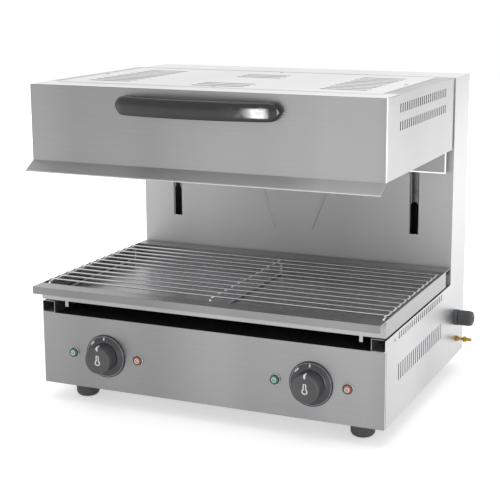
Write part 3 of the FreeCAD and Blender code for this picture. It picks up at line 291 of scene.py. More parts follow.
def galvanised_sheet():
    """Hot dipped zinc: crystals about 8 mm across in slightly different greys."""
    material, tree, shader = new_material("hot_dipped_zinc_sheet", "#96979a", 0.45, 0.9)
    spangle = add_node(tree, "ShaderNodeTexVoronoi", {"Vector": own_place(tree), "Scale": 125.0})
    grey = add_node(tree, "ShaderNodeSeparateColor", {"Color": spangle.outputs["Color"]}).outputs["Red"]
    tinted(tree, shader, grey, "#8c8d8f", "#a4a5a7", (0.36, 0.54, 0.0, 1.0))
    return material


def turned_dial_metal(name, centre):
    """Dark anodised aluminium turned on a lathe: fine rings round the spindle that catch a shine."""
    material, tree, shader = new_material(name, "#38383a", 0.26, 1.0)
    place = add_node(tree, "ShaderNodeMapping", {"Vector": own_place(tree), "Location": [-c for c in centre]})
    flat = add_node(tree, "ShaderNodeVectorMath", {0: place, 1: (1, 0, 1)}, operation="MULTIPLY")
    radius = add_node(tree, "ShaderNodeVectorMath", {0: flat}, operation="LENGTH")
    ring = add_node(tree, "ShaderNodeTexNoise", {
        "W": radius.outputs["Value"], "Scale": 2400.0}, noise_dimensions="1D")
    tinted(tree, shader, ring.outputs["Fac"], "#363638", "#5e5e61", (0.2, 0.34))
    return material


def moulded_lens(name, dark, light):
    """Clear coloured polycarbonate: a glossy skin over a body whose colour deepens towards the rim."""
    material, tree, shader = new_material(name, light, 0.12, Transmission_Weight=0.25, IOR=1.58)
    depth = add_node(tree, "ShaderNodeLayerWeight", {"Blend": 0.35}).outputs["Facing"]
    link(tree, shaded(tree, depth, light, dark), shader.inputs["Base Color"])
    relief(tree, shader, pattern(tree, (420, 420, 420), 1.0), 0.15 * MM, 0.4)
    return material


def varied(name, dark, light, roughness, per_metre, metallic=1.0, depth=0.02, strength=0.3, detail=3.0,
           grain=0.5, even=None, **sockets):
    """A finish whose tone, shine and height follow one pattern; even is its colour and roughness without."""
    material, tree, shader = new_material(name, *(even or (light, roughness[0])), metallic, **sockets)
    share = pattern(tree, per_metre, detail, grain)
    tinted(tree, shader, share, dark, light, roughness)
    if depth:
        relief(tree, shader, share, depth * MM, strength)
    return material


FINISHES = {
    "brushed_stainless": steel_front,
    "polished_stainless": bright_rolled_steel(),
    # Sprayed mild steel in near black, a painted shade for the inner sheets seen in the gap under the tray: a
    # fine orange peel and hardly any shine.
    "dark_inner_sheet": varied("black_sheet_painted_shade", "#141415", "#222223", (0.5, 0.7), (700, 700, 700),
                               0.0, 0.05, 0.4, 2.0, even=("#1a1a1b", 0.6)),
    "galvanised_sheet": galvanised_sheet(),
    # Deep gloss over a surface that is slightly wavy from the mould.
    "black_phenolic": varied("pressed_black_phenolic", "#0a0a0b", "#151516", (0.1, 0.2), (90, 90, 90), 0.0,
                             0.08, 0.25, even=("#121213", 0.14), IOR=1.5),
    # A cream glaze with faint speckles and no relief.
    "cream_ceramic": varied("glazed_steatite", "#c9bf9f", "#e0d8c0", (0.15, 0.3), (600, 600, 600), 0.0, None,
                            detail=4.0, grain=0.7, even=("#d6cdb2", 0.2)),
    "green_lens": moulded_lens("green_polycarbonate", "#0b3a33", "#1aa37a"),
    "amber_lens": moulded_lens("amber_polycarbonate", "#5a2410", "#e8722a"),
    # Pale, with a soft edge of shine.
    "lamp_ring": varied("bright_nickel_ring", "#b9b9bb", "#e2e2e4", (0.18, 0.3), (500, 500, 500)),
    # Matt, with a dusty bloom.
    "foot_rubber": varied("black_rubber", "#545454", "#707070", (0.7, 0.92), (160, 160, 160), 0.0, 0.1,
                          detail=4.0, even=("#606060", 0.7)),
    # Near mirror, with draw marks along the wire.
    "chrome_wire": varied("chromed_wire", "#bcbcbe", "#dedee0", (0.1, 0.24), (30, 900, 900)),
    # Mirror bright with very fine rings.
    "guide_chrome": varied("hard_chromed_rod", "#c6c8cb", "#e0e2e4", (0.06, 0.14), (40, 40, 1200)),
    # A sheath that has been hot: brown grey, patchy and dull.
    "heater_sheath": varied("oxidised_nickel_alloy", "#3f3832", "#6b6259", (0.42, 0.62), (45, 120, 120)),
    # Golden brown with fine open pores.
    "bronze_bush": varied("sintered_bronze", "#8c6a38", "#b18d54", (0.4, 0.56), (1400, 1400, 1400)),
    # Tool rings round the stud.
    "brass": varied("turned_brass", "#a8842f", "#d0ac5a", (0.2, 0.36), (1500, 150, 150)),
    # Satin and slightly mottled.
    "grey_nylon": varied("moulded_grey_nylon", "#3f4245", "#54575a", (0.42, 0.56), (220, 220, 220), 0.0),
    # Pale blue grey, a little cloudy.
    "zinc_screws": varied("bright_zinc_screw", "#9a9da1", "#c9ccd0", (0.22, 0.4), (700, 700, 700)),
    # Sand cast under its primer: rough and matt.
    "cast_weight": varied("primed_cast_iron", "#45474a", "#5e6063", (0.6, 0.8), (260, 260, 260), 0.0, 0.3),
    "steel_cable": varied("galvanised_strand", "#8b8e92", "#adb0b4", (0.3, 0.45), (900, 900, 900)),
    # Mid grey with rings from the tool.
    "machined_steel": varied("turned_mild_steel", "#85888b", "#a9acaf", (0.26, 0.4), (1300, 90, 90)),
}
# Screen printed marks: flat white with slightly uneven cover.
white_ink = varied("white_epoxy_ink", "#f4f4f3", "#ffffff", (0.4, 0.6), (900, 900, 900), 0.0)
# White marks on the top of each lamp's lens, a ring and a slanted bar: painted glints.
lamp_glint_white = varied("white_painted_glint", "#d5e6e2", "#f3f6f4", (0.3, 0.45), (700, 700, 700), 0.0)
# The rack's frames: the same wire painted paler than the cross wires as a painted highlight, and softer in
# their shine.
frame_wire_highlight = varied("frame_wire_painted_highlight", "#d9d9da", "#ececed", (0.26, 0.36), (30, 700, 700))
# Black moulding with a spark-eroded texture, which looks dark grey.
knob_black = varied("satin_black_moulding", "#424244", "#525254", (0.36, 0.5), (1500, 1500, 1500), 0.0, 0.03,
                    detail=2.0, even=("#48484a", 0.42))


# Pieces

def new_object(name, data):
    thing = bpy.data.objects.new(name, data)
    bpy.context.scene.collection.objects.link(thing)
    return thing


def add_piece(name, made, body, slot, material=None, edge=None):
    """Puts a mesh, or some shapes as one, in the scene: on a CAD body and in a material slot's finish."""
    mesh = joined(made, name) if isinstance(made, list) else made
    piece = new_object(name, mesh)
    mesh.materials.clear()
    for finish in [material or FINISHES[slot]] + ([edge] if edge else []):
        mesh.materials.append(finish)
    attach(piece, body)
    return piece


def in_frame(x, y, z):
    """A place counted from the middle of the base's front, in mm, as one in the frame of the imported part."""
    return Vector(((x + ORIGIN[0]) * MM, (y + ORIGIN[1]) * MM, z * MM))


def merged_shape(node):
    """A CAD piece's triangles, joined into whole faces."""
    shape = bmesh.new()
    shape.from_mesh(NODES[node].data)
    bmesh.ops.remove_doubles(shape, verts=shape.verts, dist=0.01 * MM)
    bmesh.ops.dissolve_limit(shape, angle_limit=math.radians(0.5), verts=shape.verts, edges=shape.edges)
    return shape


def soften(shape, width):
    """Takes the sharp edges off a shape and marks the new bevels and the narrow faces as material 1, which
    carries the painted edge highlight.
    """
    sharp = [e for e in shape.edges if len(e.link_faces) == 2 and e.calc_face_angle(0) > SMOOTH_ANGLE]
    made = bmesh.ops.bevel(shape, geom=sharp, offset=width, segments=2, affect="EDGES", clamp_overlap=True,
                           profile=0.5)
    for face in made["faces"]:
        face.material_index = 1
    for face in shape.faces:
        if face.calc_area() < NARROW_FACE * face.calc_perimeter():
            face.material_index = 1


def mesh_from(shape, name):
    mesh = bpy.data.meshes.new(name)
    shape.to_mesh(mesh)
    shape.free()
    for attribute in ("custom_normal", "sharp_edge", "sharp_face"):
        if attribute in mesh.attributes:
            mesh.attributes.remove(mesh.attributes[attribute])
    mesh.shade_smooth()
    return mesh


def flat_faces(piece):
    """Lets the large faces of a softened piece look flat, with the shine only on its edges."""
    weigh = piece.modifiers.new("Flat faces", "WEIGHTED_NORMAL")
    weigh.keep_sharp = True
    graph = bpy.context.evaluated_depsgraph_get()
    piece.data = bpy.data.meshes.new_from_object(piece.evaluated_get(graph), preserve_all_data_layers=True,
                                                 depsgraph=graph)
    piece.modifiers.clear()


def broken_edges(node, material=None, width=EDGE, others=(), edge=None):
    """A copy of a CAD piece with broken edges; others pairs a finish with a test for the faces it is on."""
    shape = merged_shape(node)
    soften(shape, width)
    if not edge:
        for face in shape.faces:
            face.material_index = 0
    body, slot = NODES[node]["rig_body"], SLOTS[node]
    for number, (other, is_other) in enumerate(others):
        name = f"{node}_faces_{number + 1}"
        rest = shape.copy()
        bmesh.ops.delete(rest, geom=[f for f in rest.faces if not is_other(f)], context="FACES")
        bmesh.ops.delete(shape, geom=[f for f in shape.faces if is_other(f)], context="FACES")
        flat_faces(add_piece(name, mesh_from(rest, name), body, slot, other, edge))
    piece = add_piece(f"{node}_dressed", mesh_from(shape, f"{node}_dressed"), body, slot, material, edge)
    flat_faces(piece)
    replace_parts(piece, node)
    return piece


def skinned(shape, rings, closed):
    """Faces between each ring of points and the next, right round or with a face over each end."""
    count = max(len(ring) for ring in rings)
    pairs = list(zip(rings, rings[1:])) + ([(rings[-1], rings[0])] if closed else [])
    for low, high in pairs:
        for step in range(count):
            corners = [ring[(step + ahead) % len(ring)]
                       for ring, ahead in ((low, 0), (low, 1), (high, 1), (high, 0))]
            shape.faces.new(list(dict.fromkeys(corners)))
    for ring in () if closed else (rings[0], rings[-1]):
        if len(ring) > 1:
            shape.faces.new(ring)
    bmesh.ops.recalc_face_normals(shape, faces=shape.faces)
    return shape


def turned_shape(profile, centre, axis, segments):
    """A turned shape: pairs of radius and distance along the axis, from pole to pole or right round."""
    shape = bmesh.new()
    rings = []
    for radius, along in profile:
        ring = []
        for step in range(segments if radius > 0 else 1):
            angle = 2 * math.pi * step / segments
            across, up = radius * math.cos(angle), radius * math.sin(angle)
            offset = {"X": (along, across, up), "Y": (across, along, up), "Z": (across, up, along)}[axis]
            ring.append(shape.verts.new(Vector(centre) + Vector(offset) * MM))
        rings.append(ring)
    return skinned(shape, rings, profile[0][0] > 0)


def joined(shapes, name):
    """Several shapes as one mesh."""
    whole = bmesh.new()
    for shape in shapes:
        part = bpy.data.meshes.new(name)
        shape.to_mesh(part)
        shape.free()
        whole.from_mesh(part)
        bpy.data.meshes.remove(part)
    return mesh_from(whole, name)


def arc(centre, radius, start, end, steps):
    """Points on an arc, from one angle to another in degrees."""
    angles = [math.radians(start + (end - start) * step / steps) for step in range(steps + 1)]
    return [(centre[0] + radius * math.cos(a), centre[1] + radius * math.sin(a)) for a in angles]


# What repeats

def new_tree(name, *sizes):
    """A Geometry Nodes tree that takes points, a material and the named sizes, and what its inputs give."""
    tree = bpy.data.node_groups.new(name, "GeometryNodeTree")
    for word, way in (("Geometry", "INPUT"), ("Geometry", "OUTPUT"), ("Material", "INPUT")):
        tree.interface.new_socket(word, in_out=way, socket_type=f"NodeSocket{word}")
    for word in sizes:
        kind = "Int" if word == "Count" else "Float"
        tree.interface.new_socket(word, in_out="INPUT", socket_type=f"NodeSocket{kind}")
    return tree, add_node(tree, "NodeGroupInput").outputs


def end_tree(tree, given, instance, **more):
    """Puts the instance on each given point, turned as the point says, as one mesh in the given material."""
    turn = add_node(tree, "FunctionNodeEulerToRotation", {0: named_vector(tree, "turn")})
    placed = add_node(tree, "GeometryNodeInstanceOnPoints", {
        "Points": given["Geometry"], "Instance": instance, "Rotation": turn, **more})
    real = add_node(tree, "GeometryNodeRealizeInstances", {"Geometry": placed})
    finished = add_node(tree, "GeometryNodeSetMaterial", {"Geometry": real, "Material": given["Material"]})
    add_node(tree, "NodeGroupOutput", {0: finished})
    return tree


def grown(name, tree, places, sizes, turns=None, spans=None):
    """Runs a tree on a set of points and returns the plain mesh that it makes."""
    mesh = bpy.data.meshes.new(name)
    mesh.from_pydata([tuple(place) for place in places], [], [])
    for word, values in (("turn", turns or [(0, 0, 0)] * len(places)), ("span", spans)):
        if values:
            attribute = mesh.attributes.new(word, "FLOAT_VECTOR", "POINT")
            attribute.data.foreach_set("vector", [c for value in values for c in value])
    holder = new_object(name, mesh)
    modifier = holder.modifiers.new(name, "NODES")
    modifier.node_group = tree
    for socket in tree.interface.items_tree:
        if socket.in_out == "INPUT" and socket.name in sizes:
            modifier[socket.identifier] = sizes[socket.name]
    graph = bpy.context.evaluated_depsgraph_get()
    made = bpy.data.meshes.new_from_object(holder.evaluated_get(graph), depsgraph=graph)
    bpy.data.objects.remove(holder)
    made.set_sharp_from_angle(angle=SMOOTH_ANGLE)
    return made


def grown_piece(name, tree, body, slot, places, sizes, turns=None, spans=None, material=None):
    """A piece that a tree grows on a set of points, in one material."""
    finish = material or FINISHES[slot]
    mesh = grown(name, tree, places, {**sizes, "Material": finish}, turns, spans)
    return add_piece(name, mesh, body, slot, finish)


def named_vector(tree, word):
    return add_node(tree, "GeometryNodeInputNamedAttribute", {"Name": word}, data_type="FLOAT_VECTOR")


def smooth(tree, mesh):
    return add_node(tree, "GeometryNodeSetShadeSmooth", {0: mesh})


def scaled(tree, first, second, operation="MULTIPLY"):
    return add_node(tree, "ShaderNodeMath", {0: first, 1: second}, operation=operation)


def vector(tree, x=0.0, y=0.0, z=0.0):
    return add_node(tree, "ShaderNodeCombineXYZ", {0: x, 1: y, 2: z})


def both(tree, first, second):
    """Two geometries as one."""
    node = add_node(tree, "GeometryNodeJoinGeometry", {0: first})
    link(tree, second, node.inputs[0])
    return node


def raised(tree, mesh, height):
    return add_node(tree, "GeometryNodeTransform", {"Geometry": mesh, "Translation": vector(tree, z=height)})


def rod(tree, sides, radius, length, share):
    """A rod along z whose middle lies at a share of its length."""
    bar = add_node(tree, "GeometryNodeMeshCylinder", {"Vertices": sides, "Radius": radius, "Depth": length})
    return raised(tree, bar, scaled(tree, length, share))


def tube(tree, curve, radius, sides=16, caps=False):
    """A curve as a round bar."""
    ring = add_node(tree, "GeometryNodeCurvePrimitiveCircle", {"Resolution": sides, "Radius": radius})
    return add_node(tree, "GeometryNodeCurveToMesh", {
        "Curve": curve, "Profile Curve": ring, "Fill Caps": caps})


def cross_head_screws():
    """Domed heads with a cross recess, on shanks that point away from them."""
    tree, given = new_tree("cross_head_screws", "Head Radius", "Head Height", "Shank Radius", "Shank Length")
    radius, height = given["Head Radius"], given["Head Height"]
    ball = add_node(tree, "GeometryNodeMeshUVSphere", {"Segments": 28, "Rings": 16, "Radius": 1.0})
    oval = vector(tree, radius, radius, height)
    dome = add_node(tree, "GeometryNodeTransform", {"Geometry": ball, "Scale": oval})
    long, short, deep = scaled(tree, radius, 1.15), scaled(tree, radius, 0.26), scaled(tree, height, 1.1)
    cut = add_node(tree, "GeometryNodeMeshBoolean", {"Mesh 1": dome}, operation="DIFFERENCE", solver="EXACT")
    for x, y in ((long, short), (short, long)):
        bar = add_node(tree, "GeometryNodeMeshCube", {"Size": vector(tree, x, y, deep)})
        link(tree, raised(tree, bar, height), cut.inputs["Mesh 2"])
    shank = rod(tree, 20, given["Shank Radius"], given["Shank Length"], -0.5)
    return end_tree(tree, given, smooth(tree, both(tree, cut, shank)))


def pressed_flaps():
    """Blocks that are bowed along their length, each as large as its point says."""
    tree, given = new_tree("pressed_flaps", "Bow")
    block = add_node(tree, "GeometryNodeMeshCube", {
        "Size": (1, 1, 1), "Vertices X": 6, "Vertices Y": 2, "Vertices Z": 2})
    x = add_node(tree, "ShaderNodeSeparateXYZ", {0: add_node(tree, "GeometryNodeInputPosition")})
    rise = scaled(tree, scaled(tree, x, 2, "POWER"), given["Bow"])
    bowed = add_node(tree, "GeometryNodeSetPosition", {"Geometry": block, "Offset": vector(tree, z=rise)})
    return end_tree(tree, given, bowed, Scale=named_vector(tree, "span"))


def straight_wires():
    """A bar of round wire at each point, along its own x axis."""
    tree, given = new_tree("straight_wires", "Wire Radius", "Half Length")
    ends = [vector(tree, scaled(tree, given["Half Length"], way)) for way in (-1.0, 1.0)]
    line = add_node(tree, "GeometryNodeCurvePrimitiveLine", {"Start": ends[0], "End": ends[1]})
    finer = add_node(tree, "GeometryNodeResampleCurve", {"Curve": line, "Count": 9})
    return end_tree(tree, given, smooth(tree, tube(tree, finer, given["Wire Radius"], caps=True)))


def bent_frames():
    """A closed ring of round wire with bent corners at each point, upright and lengthwise along y."""
    tree, given = new_tree("bent_frames", "Depth", "Height", "Bend Radius", "Wire Radius")
    shape = add_node(tree, "GeometryNodeCurvePrimitiveQuadrilateral", {
        "Width": given["Depth"], "Height": given["Height"]})
    bent = add_node(tree, "GeometryNodeFilletCurve", {
        "Curve": shape, "Radius": given["Bend Radius"], "Count": 6}, mode="POLY")
    return end_tree(tree, given, smooth(tree, tube(tree, bent, given["Wire Radius"])))


def weld_beads():
    """A flattened bead at each point, each a little different in size."""
    tree, given = new_tree("weld_beads", "Bead Radius")
    ball = add_node(tree, "GeometryNodeMeshUVSphere", {
        "Segments": 12, "Rings": 8, "Radius": given["Bead Radius"]})
    flat = add_node(tree, "GeometryNodeTransform", {"Geometry": ball, "Scale": (1.0, 1.0, 0.7)})
    size = add_node(tree, "FunctionNodeRandomValue", {"Min": 0.85, "Max": 1.15, "Seed": 7}, data_type="FLOAT")
    return end_tree(tree, given, smooth(tree, flat), Scale=size.outputs[1])


def thread_rings():
    """The crests of a thread on a stud: rings along its own z axis from each point, on a core."""
    tree, given = new_tree("thread_rings", "Crest Radius", "Pitch", "Count", "Length")
    path = add_node(tree, "GeometryNodeCurvePrimitiveCircle", {
        "Resolution": 24, "Radius": given["Crest Radius"]})
    crest = tube(tree, path, scaled(tree, given["Pitch"], 0.4), 6)
    line = add_node(tree, "GeometryNodeMeshLine", {
        "Count": given["Count"], "Offset": vector(tree, z=given["Pitch"])}, mode="OFFSET")
    crests = add_node(tree, "GeometryNodeInstanceOnPoints", {"Points": line, "Instance": crest})
    core = rod(tree, 24, given["Crest Radius"], given["Length"], 0.5)
    return end_tree(tree, given, smooth(tree, both(tree, crests, core)))


def stranded_cables():
    """Six wires laid round a core, hanging down from each point."""
    tree, given = new_tree("stranded_cables", "Length", "Lay Length", "Strand Radius")
    length, radius = given["Length"], given["Strand Radius"]
    turns, lay = scaled(tree, length, given["Lay Length"], "DIVIDE"), scaled(tree, radius, 2.0)
    down = scaled(tree, length, -1.0)
    spiral = add_node(tree, "GeometryNodeCurveSpiral", {
        "Resolution": 12, "Rotations": turns, "Start Radius": lay, "End Radius": lay, "Height": down})
    strand = smooth(tree, tube(tree, spiral, radius, 6, caps=True))
    spots = add_node(tree, "GeometryNodeMeshLine", {"Count": 6, "Offset": (0, 0, 0)}, mode="OFFSET")
    angle = scaled(tree, add_node(tree, "GeometryNodeInputIndex"), math.pi / 3)
    spin = add_node(tree, "FunctionNodeEulerToRotation", {0: vector(tree, z=angle)})
    strands = add_node(tree, "GeometryNodeInstanceOnPoints", {
        "Points": spots, "Instance": strand, "Rotation": spin})
    return end_tree(tree, given, both(tree, strands, rod(tree, 6, radius, length, -0.5)))


# Sheet metal

def faces_side(face):
    return abs(face.normal.x) > 0.7


def faces_up(face):
    return face.normal.z > 0.9


def is_brow(face):
    """True for the upper face of the hood's sloping brow."""
    return 0.75 < face.normal.z < 0.9


def is_tray_lip(face):
    """True for the front of the tray's front lip."""
    return face.normal.y < -0.9 and face.calc_center_median().y < in_frame(0, -20, 0).y


def is_tray_floor(face):
    """True for the tray's floor inside its walls."""
    return faces_up(face) and face.calc_center_median().z < TRAY_FLOOR * MM + EDGE


# Faces that look up or to the side, the brow and the tray's lip go into the lighter and darker copies of the
# sheet: painted light and shade by facing.
broken_edges("base_front_panel", steel_front, FOLD_EDGE, edge=edge_highlight_steel)
broken_edges("hood_front_panel", steel_front, FOLD_EDGE, [(steel_top, faces_up), (steel_brow, is_brow)],
             edge_highlight_steel)
column = broken_edges("column_shell", steel_column, FOLD_EDGE, [(steel_side, faces_side)], edge_highlight_steel)
broken_edges("tray", steel_tray,
             others=[(FINISHES["polished_stainless"], is_tray_floor), (steel_lip, is_tray_lip)])
for node in ("base_side_left", "base_side_right", "rail_cover_left", "rail_cover_right"):
    broken_edges(node, steel_side, FOLD_EDGE)
for node in ("hood_side_left", "hood_side_right"):
    broken_edges(node, steel_hood_side, FOLD_EDGE)
for node in ("hood_top_cover", "column_top_cap"):
    broken_edges(node, steel_top)
for node in ("column_back_cover", "hood_rear_panel"):
    broken_edges(node, steel_column, FOLD_EDGE, edge=edge_highlight_steel)
for node in ("rail_left", "rail_right", "carriage_left", "carriage_right"):
    broken_edges(node, edge=edge_highlight_steel)
for node in ("base_bottom_plate", "base_top_plate", "guide_bracket_top", "guide_bracket_bottom", "reflector",
             "counterweight", "shaft_bearings", "pulley_shaft", "terminal_block", "thermostat_left",
             "thermostat_right", "cable_gland_body", "guide_rods", "weight_guide_rods"):
    broken_edges(node)
for node in ("guide_bushes", "cable_wraps", "heating_element_left", "heating_element_right"):
    broken_edges(node, width=SMALL_EDGE)


def bright_strips(name, body, boxes, finish=edge_highlight_steel):
    """Hems, flanges and collars, each a thin bar between two corners in mm, by default in the finish painted
    near white as an edge highlight.
    """
    shapes = []
    for box in boxes:
        low, high = (in_frame(*corner) for corner in box)
        shape = bmesh.new()
        bmesh.ops.create_cube(shape, size=1)
        bmesh.ops.scale(shape, vec=[abs(b - a) for a, b in zip(low, high)], verts=shape.verts)
        bmesh.ops.translate(shape, vec=(low + high) / 2, verts=shape.verts)
        soften(shape, 0.1 * MM)
        shapes.append(shape)
    piece = add_piece(name, shapes, body, "brushed_stainless", finish, finish)
    flat_faces(piece)
    return piece


def mirrored(x, other_x, low, high):
    """A bar on each side, between two distances from the middle and two pairs of depth and height."""
    return [((side * x, *low), (side * other_x, *high)) for side in SIDES]


# The front sheet is folded round each side of the hood and, by less, round each side of the base; the folds
# are strips in the painted edge highlight.
bright_strips("hood_corner_flanges", "hood",
              mirrored(299.1, 299.7, (-10.7, HOOD_BOTTOM + 0.3), (-6.7, HOOD_TOP - 0.4)))
bright_strips("base_corner_flanges", "base",
              mirrored(299.6, WALL_X, (0.2, BASE_BOTTOM + 0.3), (3.4, BASE_TOP - 0.3)))
# The brow ends in a hem, and the skirt behind the hood has one along its foot and both ends, also in the
# painted edge highlight.
bright_strips("brow_hem", "hood", [((-299.5, -34.25, BROW_TIP + 0.6), (299.5, -33.4, BROW_TIP + 1.8))])
HEM_TOP = SKIRT_BOTTOM + 2.2
bright_strips("skirt_hem", "hood", [((-290, 346.3, SKIRT_BOTTOM), (290, 347.5, HEM_TOP)),
                                    *mirrored(290, 287.8, (346.3, HEM_TOP), (347.5, HOOD_BOTTOM))])
# The sheet is turned in along both sides of each arm's slot.
SLOT_TOP = level("guide_bracket_top", 1) - 3
SLOT_BOTTOM = min(v.co.z for v in NODES["column_shell"].data.vertices
                  if abs(v.co.x - in_frame(GUIDE_X, 0, 0).x) < SLOT_HALF * 1.1 * MM
                  and v.co.z > (BASE_TOP + 20) * MM) / MM
collar_boxes = [((side * GUIDE_X + way * SLOT_HALF, 361.2, SLOT_BOTTOM),
                 (side * GUIDE_X + way * (SLOT_HALF + 1), 366.0, SLOT_TOP))
                for side in SIDES for way in SIDES]
turned_in = bright_strips("slot_collars", "base", collar_boxes, steel_column)


# Screws and bolts

def facing(way, spin=0.0):
    """The turn that points a piece's own z axis one way, after a spin about it, in degrees."""
    aims = {"up": (0, 0, 0), "right": (0, 90, 0), "left": (0, -90, 0), "back": (-90, 0, 0),
            "front": (90, 0, 0)}
    aim = Euler([math.radians(angle) for angle in aims[way]]).to_matrix()
    return tuple((aim @ Matrix.Rotation(math.radians(spin), 3, "Z")).to_euler())


def add_screws(name, body, node, heads, size, length):
    """Cross head screws, each given by the way its head faces and its place, and each at its own angle."""
    turns = [facing(way, 17 + 37 * number) for number, (way, place) in enumerate(heads)]
    radius, height, shank = (measure * MM for measure in size)
    sizes = {"Head Radius": radius, "Head Height": height, "Shank Radius": shank, "Shank Length": length * MM}
    places = [in_frame(*place) for way, place in heads]
    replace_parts(grown_piece(name, SCREW_TREE, body, "zinc_screws", places, sizes, turns), node)


SCREW_TREE = cross_head_screws()
# The radius and the height of the head, and the radius of the shank.
SCREW_SIZE = (3.6, 1.2, 1.9)
BOLT_SIZE = (4.2, 2.9, 2.4)
add_screws("cover_screws", "base", "rail_cover_screws",
           [(way, (side * WALL_X, 45, BASE_TOP + 7.5)) for way, side in (("left", LEFT), ("right", RIGHT))],
           SCREW_SIZE, 3.0)
back_rows = [BASE_BOTTOM + 40 + 210 * row for row in range(3)]
add_screws("back_screws", "base", "back_cover_screws",
           [("back", (side * 292.8, 452, z)) for side in SIDES for z in back_rows], SCREW_SIZE, 5.0)
top_places = [(-268, 180), (268, 180), (0, 44), (0, 316)]
add_screws("top_screws", "hood", "hood_cover_screws", [("up", (x, y, LID_TOP)) for x, y in top_places],
           SCREW_SIZE, 5.0)
hanger_bolts = [("back", (side * GUIDE_X, 350.2, z)) for side in SIDES for z in (ARM_TOP - 65, ARM_TOP - 20)]
arm_bolts = [("front", (side * GUIDE_X, 379, ARM_BOTTOM + 18)) for side in SIDES]
add_screws("lift_bolts", "hood", "carriage_bolts", hanger_bolts + arm_bolts, BOLT_SIZE, 1.4)


# Louvres pressed behind the slots

def add_flaps(name, body, material, rows):
    """Bowed flaps, each row as (places, turn, span): the sheet pushed in behind a slot."""
    places, turns, spans = [], [], []
    for row_places, turn, span in rows:
        places += [in_frame(*place) for place in row_places]
        turns += [turn] * len(row_places)
        spans += [tuple(c * MM for c in span)] * len(row_places)
    grown_piece(name, FLAP_TREE, body, "brushed_stainless", places, {"Bow": 2.0}, turns, spans, material)


STAND = Matrix(((0, 0, 1), (1, 0, 0), (0, 1, 0)))
FLAP_THICKNESS = 0.8
# How far a flap reaches past each end of its slot, and how far its front edge lies behind the sheet.
FLAP_LAP = 1
FLAP_GAP = 0.5


def slot_row(side, wall, start, pitch, count, low, height, tilt=17, width=7.6):
    """The flaps behind one row of upright slots in a side wall, each leaning in at its rear edge."""
    inset = width * math.sin(math.radians(tilt)) / 2 + FLAP_GAP
    x, z = side * (wall - inset), low + height / 2
    places = [(x, start + 2.5 + pitch * number, z) for number in range(count)]
    turn = (Matrix.Rotation(math.radians(side * tilt), 3, "Z") @ STAND).to_euler()
    return places, tuple(turn), (width, height + 2 * FLAP_LAP, FLAP_THICKNESS)


def top_row(x, start, count, length, tilt=13, width=12.6):
    """The flaps behind one row of slots in the hood's top, each leaning down towards the front."""
    drop = width * math.sin(math.radians(tilt)) / 2 + FLAP_GAP
    lie = Matrix.Rotation(math.radians(tilt), 3, "X") @ Matrix.Rotation(math.radians(90), 3, "Z")
    places = [(x, start + 5 + 22.4 * number, HOOD_TOP - drop) for number in range(count)]
    return places, tuple(lie.to_euler()), (width, length + 2 * FLAP_LAP, FLAP_THICKNESS)


FLAP_TREE = pressed_flaps()
base_rows, hood_rows = [], []
for side in SIDES:
    for low, height, tilt in ((BASE_BOTTOM + 59, 27, 17), (BASE_TOP + 4, 11, 10)):
        base_rows.append(slot_row(side, WALL_X - SHEET, 63.5, 11.3, 22, low, height, tilt))
    for low in (HOOD_TOP - 54.1, HOOD_TOP - 27.5):
        hood_rows.append(slot_row(side, 298.3, 52, 11.1, 23, low, 13.3))
add_flaps("base_louvres", "base", steel_side, base_rows)
add_flaps("hood_louvres", "hood", steel_hood_side, hood_rows)
top_rows = [(-202, 70, 10, 76), (202, 70, 10, 76), (0, 52, 3, 90), (0, 212, 3, 80)]
add_flaps("top_louvres", "hood", steel_louvre, [top_row(*row) for row in top_rows])


# Rack

wire_z = RACK_TOP - WIRE_RADIUS
wire_rows = [WIRE_START + WIRE_PITCH * row for row in range(WIRE_COUNT)]
frame_low, frame_high = TRAY_FLOOR + FRAME_GAP + FRAME_RADIUS, wire_z - WIRE_RADIUS - FRAME_RADIUS
frame_places = [in_frame(x, FRAME_MIDDLE, (frame_low + frame_high) / 2) for x in FRAME_COLUMNS]
wire_places = [in_frame(0, y, wire_z) for y in wire_rows]
wires = grown_piece("rack_cross_wires", straight_wires(), "rack", "chrome_wire", wire_places,
                    {"Wire Radius": WIRE_RADIUS * MM, "Half Length": WIRE_HALF * MM})
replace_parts(wires, "rack_wires")
# The frames and their welds are in the paler wire with the painted highlight.
frames = grown_piece("rack_frames", bent_frames(), "rack", "chrome_wire", frame_places, {
    "Depth": FRAME_DEPTH * MM, "Height": (frame_high - frame_low) * MM, "Bend Radius": 5 * MM,
    "Wire Radius": FRAME_RADIUS * MM}, [tuple(STAND.to_euler())] * len(frame_places), material=frame_wire_highlight)
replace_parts(frames, "rack_frame_left", "rack_frame_middle", "rack_frame_right")
welds = [in_frame(x, y, wire_z - WIRE_RADIUS) for x in FRAME_COLUMNS for y in wire_rows]
grown_piece("rack_welds", weld_beads(), "rack", "chrome_wire", welds, {"Bead Radius": 2.3 * MM},
            material=frame_wire_highlight)


# Dials

def cap_profile():
    """The dial's cap from the middle of its face to the back of its spindle, as radius and depth."""
    rim = arc((20.9, -27.5), 1.5, 270, 360, 5)
    return [(0, -27.6), (8.2, -27.6), (9.0, -28.0), (18.3, -28.1), (18.9, -28.7), (19.6, -29.0), *rim,
            (22.7, -24), (23.7, -7.2), (23.4, -6.3), (3, -6.3), (3, 14), (0, 14)]


# The dial's skirt, and the turned ring that it carries, as radius and depth; the ring's lighter steel is a
# painted highlight round the skirt's edge.
BEZEL_PROFILE = [(3.3, 0), (35.5, 0), (36, -0.5), (36, -1.7), (35.6, -2.2), (34.9, -2.3), (34.4, -1.9),
                 (33.4, -1.9), (32.9, -2.5), (31.0, -3.2), (28.0, -4.3), (25.6, -5.2), (25.1, -5.9),
                 (24.4, -6.0), (3.3, -6.0)]
DIAL_RING_PROFILE = [(32.8, -1.7), (34.2, -1.7), (34.1, -2.3), (33.6, -2.7), (33.0, -2.5)]


